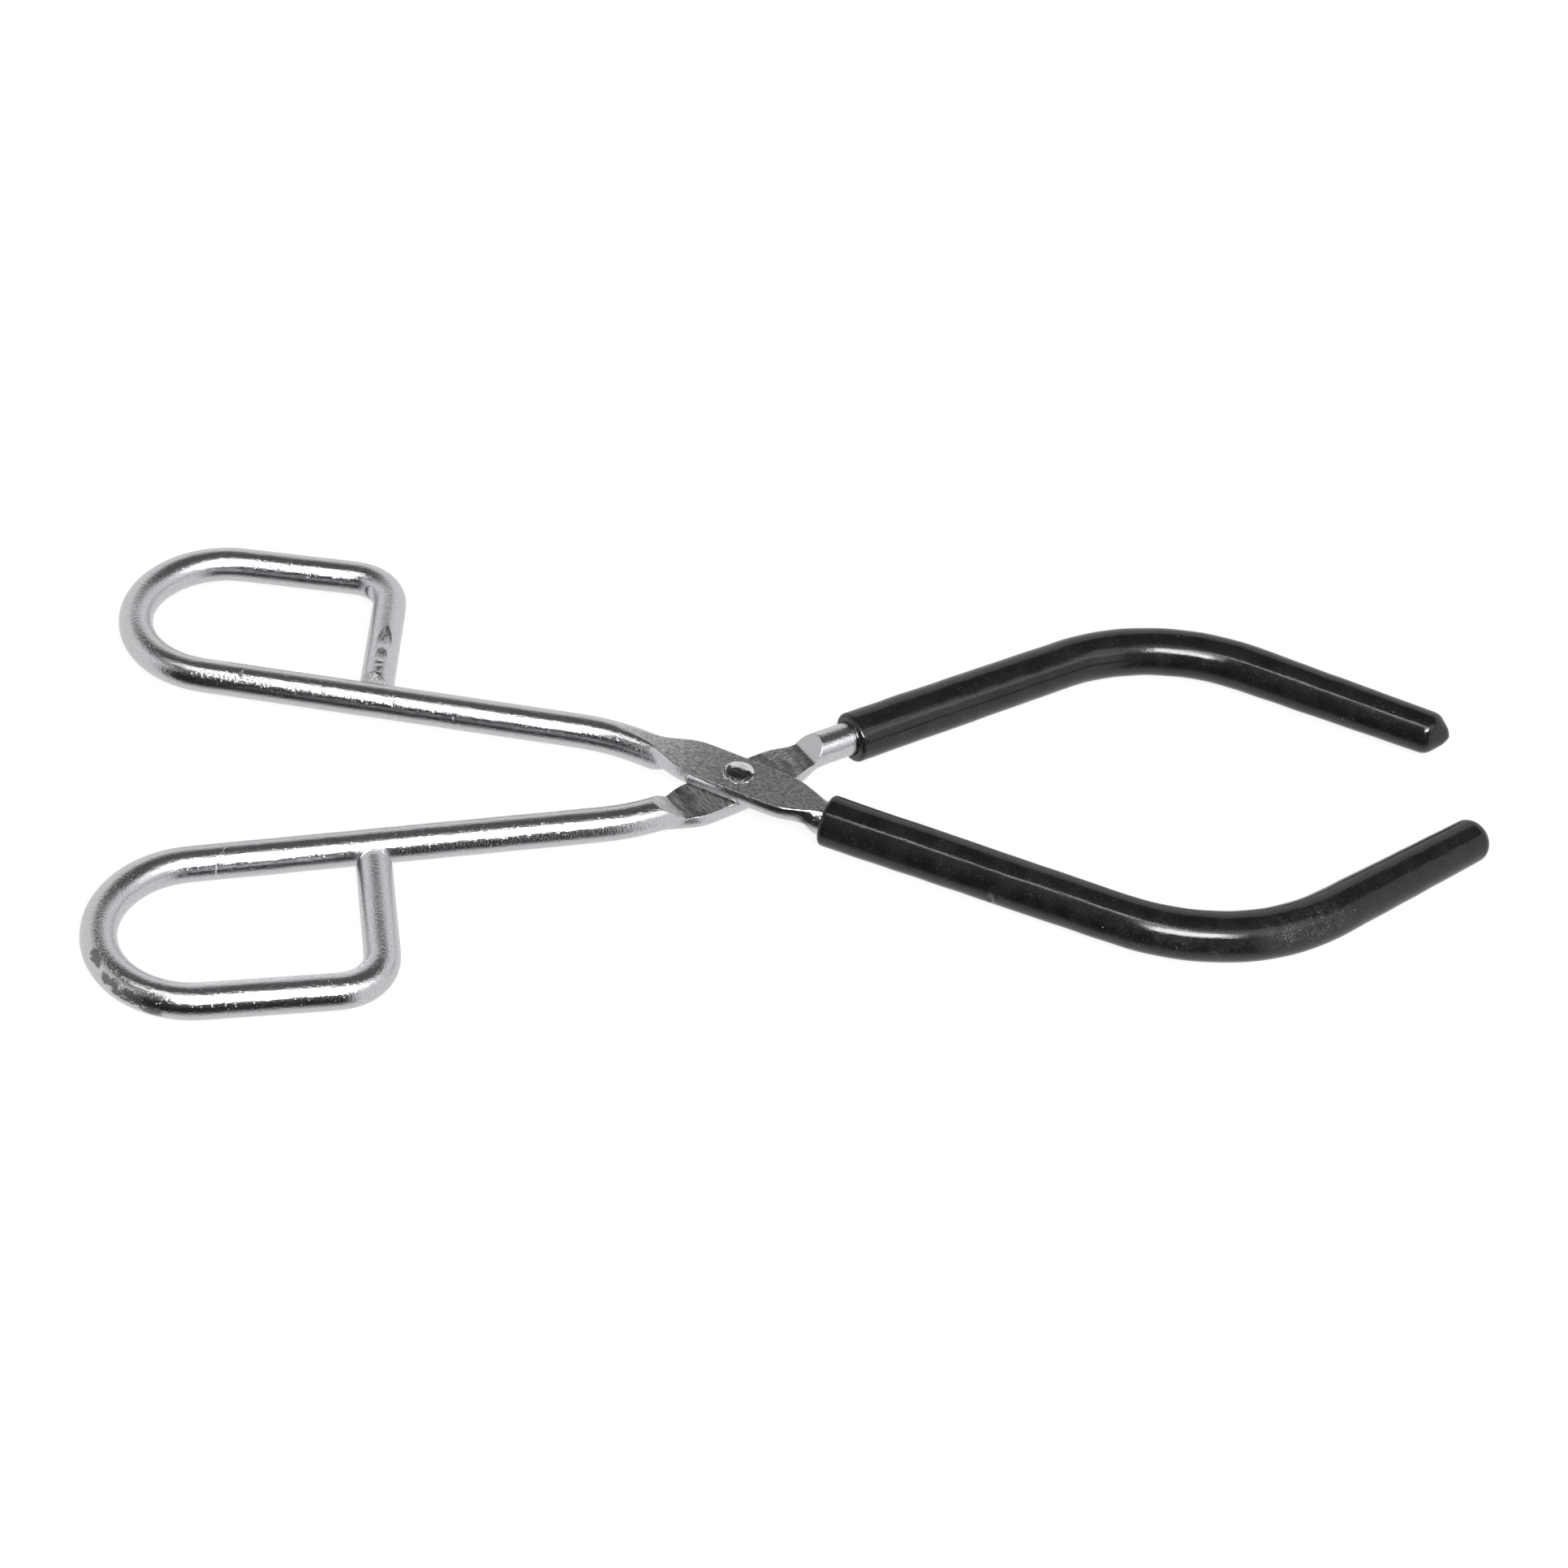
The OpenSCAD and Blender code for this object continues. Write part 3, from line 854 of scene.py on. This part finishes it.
    def build(self, material: bpy.types.Material) -> None:
        """Sweeps the outline round the centre line, a little uneven as a dipped coat is, and dresses the piece."""
        s, r, side = (v[:, None] for v in self.profile())
        phi = even_angles(len(s), self.ring_points)
        along = np.broadcast_to(s, phi.shape)
        waves = Wander(self.seed, waves=16, longest=50.0, shortest=6.0).at(along, phi)
        uneven = np.minimum(r / self.uneven_from_r, 1.0) * self.uneven * waves
        radius = r + side * (uneven + heights(self.marks, s, phi, self.mark_r).sum(0))
        lean = self.tip_lean * side * np.clip((s - self.end) / self.tip_cone + 1.0, 0.0, 1.0) ** self.lean_power
        across, up = radius * np.cos(phi) + lean, radius * np.sin(phi)
        # Rubbed patches: scuffed coating, in which the material also paints glints.
        rubbed = heights(self.rubbed, s, phi, self.mark_r).max(0)
        values = {"bar": np.stack([along, across, up], axis=-1), "worn": rubbed}
        piece = grid_object(self.name, self.lever.swept(s, across, up), values)
        dress(piece, material, self.lever.body, self.node)


@dataclass
class PivotRivet:
    """Rivet through both laps, with a low hammered dome at each end."""

    name: str = "rivet"
    node: str = "pivot_rivet"
    body: str = "lower_arm"
    shank_r: float = 2.0
    head_r: float = 2.75
    foot_r: float = 3.2
    seat_low: float = -2.875
    seat_high: float = 2.925
    dome: float = 0.6
    dome_power: float = 3.2
    edge: float = 0.12
    ring_points: int = 96
    pivot: Point = Bar.pivot

    def head(self) -> tuple[Array, Array, Array]:
        """Outline of one head: a thin foot, then a dome of height edge + (dome - edge) * (1 - (r / head_r)^dome_power).

        Returns:
            Radii and heights from the seat to near the pole, and how far each is part of the foot.
        """
        foot_r = np.linspace(self.foot_r, self.head_r, 7)
        foot_z = self.edge * np.linspace(0.0, 1.0, 7) ** 0.7
        r = np.linspace(self.head_r - 0.05, 0.1, 40)
        z = self.edge + (self.dome - self.edge) * (1.0 - (r / self.head_r) ** self.dome_power)
        foot = np.concatenate([np.linspace(1.0, 0.0, 7), np.zeros_like(r)])
        return np.concatenate([foot_r, r]), np.concatenate([foot_z, z]), foot

    def build(self, material: bpy.types.Material) -> None:
        """Turns the outline round the rivet's axis, dents the heads a little as a hammer does, and dresses the piece.

        The foot stands out on the near side only: elsewhere its radius is drawn in to the dome's.
        """
        r, z, foot = self.head()
        outline_r = np.concatenate([r[::-1], [self.shank_r, self.shank_r], r])[:, None]
        low, high = self.seat_low, self.seat_high
        outline_z = np.concatenate([low - z[::-1], [low, high], high + z])[:, None]
        on_foot = np.concatenate([foot[::-1], [0.0, 0.0], foot])[:, None]
        phi = even_angles(len(on_foot), self.ring_points)
        ragged = 1.0 + 0.3 * np.sin(9.0 * phi) + 0.25 * np.sin(17.0 * phi + 1.0)
        near = smooth_step(-np.sin(phi + 0.25), -0.1, 0.6) * ragged
        radius = outline_r - on_foot * (self.foot_r - self.head_r) * (1.0 - near)
        x, y = radius * np.cos(phi), radius * np.sin(phi)
        on_head = np.sign(outline_z) * (np.abs(outline_z) > high + self.edge)
        facets = 0.03 * np.sin(1.9 * x + 0.8) * np.sin(1.6 * y - 0.5) + 0.018 * np.sin(3.7 * y + 2.2 * x)
        rim = 1.0 + 0.012 * np.sin(3.0 * phi + 0.6) + 0.008 * np.sin(7.0 * phi + 1.9)
        points = np.stack([x * rim, y * rim, outline_z + on_head * facets], axis=-1)
        values = {"bar": points.copy(), "foot": np.broadcast_to(on_foot, phi.shape) * near}
        piece = grid_object(self.name, points + np.array(self.pivot), values)
        dress(piece, material, self.body, self.node)


# ---- Finishes ----


def new_material(name: str) -> tuple[bpy.types.Material, Graph]:
    """An empty node material and its graph."""
    material = bpy.data.materials.new(name)
    material.use_nodes = True
    return material, Graph(material.node_tree)


def output(graph: Graph, shader: Wire) -> None:
    """Joins a shader to the material's output."""
    graph.add("ShaderNodeOutputMaterial", {}, {"Surface": shader})


def metal(graph: Graph, colour: Wire, rough: Wire, normal: Wire) -> None:
    """Ends a graph in a metal."""
    sockets = {"Base Color": colour, "Metallic": 1.0, "Roughness": rough, "Normal": normal}
    output(graph, graph.add("ShaderNodeBsdfPrincipled", {}, sockets, "BSDF"))


@dataclass(frozen=True)
class PlatedSteel:
    """Bright plating over drawn bar: grainy, matt on the coined flats, brushed or scuffed where the laps meet."""

    name: str = "plated_steel"
    level: float = 0.64
    violet: float = 0.03
    roughness: float = 0.18
    coined_level: float = 0.36
    coined_roughness: float = 0.42
    mating_level: float = 0.24
    mating_roughness: float = 0.24
    worn_level: float = 0.2
    bump_depth: float = 0.07

    def material(self) -> bpy.types.Material:
        """Makes the material.

        Returns:
            Metal whose colour, roughness and bump follow the straightened bar and the flats' masks, with a painted
            sheen on the coined flat.
        """
        material, graph = new_material(self.name)
        bar = graph.attribute("bar", "Vector")
        coined, mating, shoulder, worn = (graph.attribute(k) for k in ("coined", "mating", "shoulder", "worn"))
        plain = (1.0 - coined) * (1.0 - mating)
        grain = graph.noise(bar, 3.0, 2.0, 0.6)
        pits = graph.noise(bar, 1.3, 3.0, 0.65).ramp(0.60, 0.74)
        dots = graph.cells(bar, 2.3)
        specks = dots.ramp(0.34, 0.0) * graph.chance(dots).ramp(0.3, 1.0)
        drawn = graph.noise(bar, 3.4, stretch=(0.05, 1.0, 1.0))
        hatch = graph.noise(bar, 1.15, 4.0, 0.75, (1.3, 2.4, 1.0))
        brushed = graph.noise(bar, 1.4, 4.0, 0.7, (2.6, 0.3, 0.6))
        combed = graph.noise(bar, 1.4, 4.0, 0.75, (0.5, 2.2, 1.0))
        cloud = graph.noise(bar, 0.3, stretch=(1.0, 0.3, 1.0)).ramp(0.42, 0.6)
        patchy = graph.noise(bar, 1.1, 5.0, 0.7, (0.5, 1.0, 1.0))
        patch = (worn * (2.6 * patchy - 0.6)).ramp(0.32, 0.46)
        along = graph.parted(bar)
        jaw_side = along.ramp(-3.0, 3.0)
        scuffed = along.ramp(-11.5, -8.0) * (1.0 - jaw_side)
        rubbed = brushed + jaw_side * (combed - brushed)
        bright = graph.blend(grain.ramp(0.3, 0.75), *tones(self.level, 0.92, 1.06, self.violet))
        # Painted sheen and shade: the coined flat gets a lighter and a darker copy of its finish, lighter towards its
        # handle end and darker towards its jaw end.
        dull, light = (
            graph.blend(hatch.ramp(0.35, 0.65), *tones(level, 0.56, 1.44))
            for level in (self.coined_level * 0.8, self.coined_level * 1.35)
        )
        # Painted sheen: the flat is lighter towards its handle end.
        flat = graph.blend(along.ramp(-18.0, 4.0), light, dull)
        streaked = rubbed.ramp(0.3, 0.7) * (0.35 + 0.65 * cloud).most(scuffed)
        lapped = graph.blend(streaked, *tones(self.mating_level, 0.45, 2.6))
        scored = graph.blend(brushed.ramp(0.3, 0.6), *tones(self.level, 0.4, 1.25))
        slant = graph.blend(jaw_side, scored, grey(self.level * 0.88, self.violet))
        colour = graph.blend(patch, bright, grey(self.worn_level))
        for mask, over in ((coined, flat), (mating, lapped), (shoulder, slant)):
            colour = graph.blend(mask, colour, over)
        rough = self.roughness + plain * (0.08 * pits + 0.2 * patch)
        rough = rough + coined * (self.coined_roughness - self.roughness)
        rough = rough + mating * (self.mating_roughness - self.roughness + 0.14 * jaw_side + 0.2 * scuffed)
        rough = rough + shoulder * 0.2 * (1.0 - jaw_side)
        streaks = mating * (1.0 - shoulder * jaw_side)
        relief = plain * (grain * 0.85 + specks * 0.45 + drawn * 0.15 - pits * 0.15)
        relief = relief + coined * (hatch - 0.5) * 1.3 + streaks * (rubbed - 0.5) * (0.7 + 0.7 * jaw_side)
        metal(graph, colour, rough, graph.bump(relief, self.bump_depth))
        return material


@dataclass(frozen=True)
class RivetSteel:
    """Peened rivet head: part of its plating is chipped off and shows darker steel, with a rough bright foot."""

    name: str = "rivet_steel"
    level: float = 0.8
    violet: float = 0.02
    bare_level: float = 0.075
    roughness: float = 0.24
    bump_depth: float = 0.05

    def material(self) -> bpy.types.Material:
        """Makes the material.

        Returns:
            Metal with a light plating that is chipped away below a ragged line across the head.
        """
        material, graph = new_material(self.name)
        place = graph.attribute("bar", "Vector")
        foot = graph.attribute("foot")
        x = graph.parted(place)
        y = x.of("Y")
        chips = graph.noise(place, 1.3, 5.0, 0.7)
        grain = graph.noise(place, 5.5, 3.0, 0.6)
        out = x * x + y * y
        below = 0.35 - 0.42 * x - y + (chips - 0.5) * 3.4
        flakes = graph.noise(place, 3.0, 3.0, 0.6).ramp(0.54, 0.58) * out.ramp(4.6, 6.2)
        bare = below.ramp(-0.05, 0.05) * (1.0 - flakes) * (1.0 - foot.ramp(0.1, 0.5))
        plated = graph.blend(grain, *tones(self.level, 0.88, 1.1, self.violet))
        colour = graph.blend(bare, plated, grey(self.bare_level))
        rough = self.roughness + 0.1 * (grain - 0.5) + 0.14 * bare + 0.12 * foot
        relief = grain * (0.4 + foot * 1.4) - bare * 0.5
        metal(graph, colour, rough, graph.bump(relief, self.bump_depth))
        return material


@dataclass(frozen=True)
class JawCoating:
    """Glossy black dipped coating with fine lines along it, pinprick dust and a few scuffs, and painted glints among
    the specks and in the scuffs.
    """

    name: str = "jaw_coating"
    level: float = 0.004
    haze_level: float = 0.008
    dust_and_glint_level: float = 0.3
    roughness: float = 0.09
    haze_roughness: float = 0.36
    haze: float = 0.11
    violet: float = 0.03
    ior: float = 1.48
    bump_depth: float = 0.03
    grit_depth: float = 0.12

    def material(self) -> bpy.types.Material:
        """Makes the material.

        Returns:
            A black gloss whose bump has lines along the jaw and a fine orange peel, with pale specks that are partly
            dust and partly painted glints, and painted glints in the scuffs.
        """
        material, graph = new_material(self.name)
        bar = graph.attribute("bar", "Vector")
        lines = graph.noise(bar, 2.4, 3.0, 0.6, (0.03, 1.0, 1.0))
        peel = graph.noise(bar, 4.5)
        wave = graph.noise(bar, 0.35, 1.0)
        grit = graph.noise(bar, 3.6, 2.0, 0.7)
        scuffs = graph.noise(bar, 0.7, 4.0, 0.6, (1.0, 0.6, 0.6)).ramp(0.35, 0.6)
        rubbed = graph.attribute("worn") * scuffs
        fine, coarse = graph.cells(bar, 2.8), graph.cells(bar, 0.45)
        gathered = graph.noise(bar, 0.2, 3.0, 0.6).ramp(0.35, 0.65)
        # Pale specks all over: partly dust, partly painted glints standing in for the grainy sparkle of highlights.
        specks = fine.ramp(0.22, 0.09) * graph.chance(fine).ramp(0.45, 1.0) * (0.17 + 0.28 * gathered)
        flecks = coarse.ramp(0.055, 0.03) * graph.chance(coarse).ramp(0.5, 0.9)
        # Painted glints: pale grains in the rubbed patches stand in for sparkle in the highlights. The flecks are dust.
        dust_and_glints = specks.most(flecks).most(0.42 * rubbed * grit.ramp(0.54, 0.64))
        black = graph.blend(gathered, grey(self.level, self.violet), grey(self.haze_level, self.violet))
        colour = graph.blend(dust_and_glints, black, grey(self.dust_and_glint_level))
        relief = lines * 0.5 + peel * (0.3 + 1.2 * rubbed) + wave * 0.8
        shared = {"Base Color": colour, "IOR": self.ior}
        clear = {"Roughness": self.roughness + 0.4 * dust_and_glints, "Normal": graph.bump(relief, self.bump_depth)}
        dull = {"Roughness": self.haze_roughness, "Normal": graph.bump(grit, self.grit_depth)}
        gloss, haze = (graph.add("ShaderNodeBsdfPrincipled", {}, shared | own, "BSDF") for own in (clear, dull))
        part = self.haze + 0.5 * rubbed
        output(graph, graph.add("ShaderNodeMixShader", {}, {0: part, 1: gloss, 2: haze}))
        return material


# ---- Studio ----


def facing(across: Vector, up: Vector, back: Vector, place: Vector) -> Matrix:
    """Where a camera or lamp stands, by its axes, of which the last one points away from what it faces."""
    axes = Matrix((across, up, back)).transposed().to_4x4()
    axes.translation = place
    return axes


@dataclass
class Softbox:
    """A rectangular lamp that faces the object, at a height and to the right of the front in degrees."""

    name: str
    elevation: float
    side: float
    distance: float
    width: float
    depth: float
    radiance: float
    shows_in_metal: bool = True


@dataclass
class Studio:
    """Camera, white floor, walls of light and the lamps over the front."""

    target: Point = (-2.63, -3.45, 4.825)
    station: Point = (-68.62, -454.44, 415.2)
    roll: float = 6.0
    focal_px: float = 4109.27
    sensor: float = 36.0
    floor_half: float = 3.0
    wall: float = 0.83
    ceiling: float = 0.1
    dark_front: float = 0.02
    floor_level: float = 0.94
    floor_glow: float = 0.88
    ceiling_edge: Pair = (0.658, 0.628)
    front_edge: Pair = (0.46, 0.68)
    front_foot: Pair = (-0.92, -0.45)
    front_side: Pair = (0.66, 0.48)
    lamps: tuple[Softbox, ...] = (
        Softbox("softbox_haze", 55.0, 14.0, 1.35, 1.0, 0.9, 0.8),
        Softbox("softbox", 49.0, 10.0, 1.3, 0.72, 0.56, 4.5),
        Softbox("softbox_core", 45.5, 13.0, 1.25, 0.66, 0.36, 20.0),
        Softbox("softbox_side", 44.0, 62.0, 1.3, 0.7, 0.6, 1.3),
        Softbox("strip_low", 65.8, -30.0, 1.2, 1.1, 0.02, 22.0),
        Softbox("strip_high", 68.4, -30.0, 1.2, 1.1, 0.02, 15.0),
        Softbox("fill", 86.0, 0.0, 1.5, 1.6, 1.6, 0.15, False),
    )

    @property
    def front(self) -> Vector:
        """Level direction from the object to the camera."""
        away = Vector(self.station) - Vector(self.target)
        return Vector((away.x, away.y, 0.0)).normalized()

    def build_camera(self) -> None:
        """Makes the camera at the photograph's angle, rolled a little."""
        data = bpy.data.cameras.new("camera")
        data.sensor_width = self.sensor
        data.lens = self.focal_px * self.sensor / IMAGE_SIDE
        data.clip_start, data.clip_end = 0.01, 20.0
        back = (Vector(self.station) - Vector(self.target)).normalized()
        right = UP.cross(back).normalized()
        up = back.cross(right)
        turn = math.radians(self.roll)
        rolled_right = math.cos(turn) * right + math.sin(turn) * up
        rolled_up = math.cos(turn) * up - math.sin(turn) * right
        camera = linked("camera", data)
        camera.matrix_world = facing(rolled_right, rolled_up, back, Vector(self.station) * MM)
        bpy.context.scene.camera = camera

    def build_floor(self) -> None:
        """Makes the white floor, which glows for the camera and keeps a soft shadow. Metal mirrors the room instead."""
        half = self.floor_half
        mesh = bpy.data.meshes.new("floor")
        mesh.from_pydata([(-half, -half, 0), (half, -half, 0), (half, half, 0), (-half, half, 0)], [], [(0, 1, 2, 3)])
        floor = linked("floor", mesh)
        material, graph = new_material("floor")
        path = graph.add("ShaderNodeLightPath", output="Is Camera Ray")
        seen = path.most(path.of("Is Transmission Ray"))
        paper = graph.add("ShaderNodeBsdfDiffuse", {}, {"Color": grey(self.floor_level)})
        glow = graph.add("ShaderNodeEmission", {}, {"Color": grey(1.0), "Strength": 1.0})
        output(graph, graph.add("ShaderNodeMixShader", {}, {0: seen * self.floor_glow, 1: paper, 2: glow}))
        mesh.materials.append(material)
        floor.visible_glossy = False

    def build_world(self) -> None:
        """Lights the room: white below and all round, dark overhead and, except at its right, in front."""
        world = bpy.data.worlds.new("studio")
        world.use_nodes = True
        bpy.context.scene.world = world
        graph = Graph(world.node_tree)
        way = graph.add("ShaderNodeTexCoord", output="Generated")
        x = graph.parted(way)
        y, z = x.of("Y"), x.of("Z")
        ahead = x * self.front.x + y * self.front.y
        beside = y * self.front.x - x * self.front.y
        sweep = z.ramp(*self.ceiling_edge)
        dark = ahead.ramp(*self.front_edge) * z.ramp(*self.front_foot) * beside.ramp(*self.front_side)
        room = self.ceiling + sweep * (self.wall - self.ceiling)
        room = room + dark * sweep * (self.dark_front - self.wall)
        path = graph.add("ShaderNodeLightPath", output="Is Camera Ray")
        strength = path + (1.0 - path) * room
        shader = graph.add("ShaderNodeBackground", {}, {"Color": grey(1.0), "Strength": strength})
        graph.add("ShaderNodeOutputWorld", {}, {"Surface": shader})

    def build_lamps(self) -> None:
        """Hangs the lamps: each stands off the object at its elevation over the front and faces it."""
        centre = Vector(self.target) * MM
        right = UP.cross(self.front)
        for lamp in self.lamps:
            tilt, side = math.radians(lamp.elevation), math.radians(lamp.side)
            level = math.cos(side) * self.front + math.sin(side) * right
            away = math.cos(tilt) * level + math.sin(tilt) * UP
            across = UP.cross(away).normalized()
            data = bpy.data.lights.new(lamp.name, "AREA")
            data.shape, data.size, data.size_y = "RECTANGLE", lamp.width, lamp.depth
            data.energy = lamp.radiance * math.pi * lamp.width * lamp.depth
            holder = linked(lamp.name, data)
            holder.matrix_world = facing(across, away.cross(across), away, centre + away * lamp.distance)
            holder.visible_camera = False
            holder.visible_glossy = lamp.shows_in_metal

    def build(self) -> None:
        """Sets up the whole studio and the plain view transform."""
        bpy.context.scene.view_settings.view_transform = "Standard"
        self.build_camera()
        self.build_floor()
        self.build_world()
        self.build_lamps()


# ---- The tongs ----


def upper_lever() -> Lever:
    """The lever that lies on top: far finger loop and near jaw."""
    return Lever(
        name="upper_lever_bar",
        node="upper_lever",
        body="upper_arm",
        turned_over=False,
        knee_at=26.0,
        knee_turn=18.8,
        reach=103.8,
        bow=22.1,
        corner_turn=85.7,
        elbow_at=79.8,
        elbow_turn=59.3,
        tip_reach=58.1,
        mouth_at=18.2,
        weld=WeldForm.BUTT,
        seed=11,
        marks=(
            Mark(-202.6, 100.0, 3.0, 1.15, -0.24, MarkForm.PIT, 0.55),
            Mark(-207.6, 96.0, 1.9, 0.8, -0.18, MarkForm.PIT, 0.2),
            Mark(-210.3, 93.0, 0.5, 0.6, -0.14),
            Mark(-212.0, 95.0, 0.8, 0.45, -0.14),
            Mark(-213.6, 97.0, 0.7, 0.5, -0.12),
            Mark(-184.9, 3.0, 2.4, 1.7, -0.42, MarkForm.PIT),
            Mark(-95.9, 110.0, 0.2, 0.8, -0.22),
            Mark(-55.4, 160.0, 0.14, 0.6, -0.12),
        ),
        worn=(
            Mark(-202.0, 100.0, 2.4, 0.9, 0.52, MarkForm.PIT, 0.55),
            Mark(-207.4, 96.0, 1.6, 0.65, 0.56, MarkForm.PIT, 0.2),
            Mark(-212.4, 95.0, 1.8, 0.7, 0.6),
            Mark(-95.9, 110.0, 0.22, 0.8, 1.0),
        ),
    )


def lower_lever() -> Lever:
    """The lever that lies below: near finger loop and far jaw."""
    return Lever(
        name="lower_lever_bar",
        node="lower_lever",
        body="lower_arm",
        turned_over=True,
        knee_at=20.5,
        knee_turn=22.3,
        reach=101.9,
        bow=23.1,
        corner_turn=88.7,
        elbow_at=77.6,
        elbow_turn=56.8,
        tip_reach=58.6,
        mouth_at=25.2,
        weld=WeldForm.FILLET,
        seed=12,
        marks=(Mark(-95.4, 0.0, 0.13, 0.0, -0.11, MarkForm.RING, 1.7),),
        worn=(
            Mark(-134.0, -127.0, 2.2, 1.2, 1.0),
            Mark(-139.0, -149.0, 2.8, 1.4, 1.0),
            Mark(-142.0, -163.0, 3.4, 1.8, 1.0),
            Mark(-146.0, 178.0, 2.6, 1.3, 1.0),
        ),
    )


def upper_sleeve(lever: Lever) -> JawSleeve:
    """The near jaw's coating, nicked at the side and rubbed round the elbow, with painted glints in the rubbed patches.
    """
    return JawSleeve(
        name="upper_jaw_coat",
        node="upper_jaw_sleeve",
        lever=lever,
        tip=TipForm.ROUNDED,
        seed=21,
        marks=(Mark(51.9, 198.0, 0.45, 1.2, -0.45), Mark(52.9, 193.0, 0.4, 0.7, 0.15)),
        # Rubbed patches round the elbow: scuffed coating, with painted glints in them.
        rubbed=(
            Mark(104.0, 142.0, 3.5, 2.4, 1.0),
            Mark(110.0, 138.0, 5.0, 2.6, 1.0),
            Mark(86.0, 170.0, 12.0, 2.0, 0.3),
        ),
    )


def lower_sleeve(lever: Lever) -> JawSleeve:
    """The far jaw's coating, with a flow line, beads at its lip and a longer, leaning tip."""
    return JawSleeve(
        name="lower_jaw_coat",
        node="lower_jaw_sleeve",
        lever=lever,
        tip=TipForm.CONICAL,
        seed=22,
        end_wall=2.5,
        tip_lean=-0.75,
        marks=(
            Mark(51.1, 8.0, 0.3, 3.0, 0.05),
            Mark(26.3, 325.0, 0.5, 0.5, 0.14),
            Mark(26.5, 354.0, 0.5, 0.4, 0.12),
        ),
        # A faint rubbed patch at the elbow: scuffed coating, with painted glints in it.
        rubbed=(Mark(98.0, 322.0, 10.0, 1.5, 0.15),),
    )


def main() -> None:
    """Loads the frame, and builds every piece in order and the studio."""
    logging.basicConfig(level=logging.INFO, format="%(name)s %(message)s")
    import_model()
    Studio().build()
    steel, coating, rivet = PlatedSteel().material(), JawCoating().material(), RivetSteel().material()
    upper, lower = upper_lever(), lower_lever()
    upper.build(steel)
    lower.build(steel)
    upper_sleeve(upper).build(coating)
    lower_sleeve(lower).build(coating)
    PivotRivet().build(rivet)


if __name__ == "__main__":
    main()
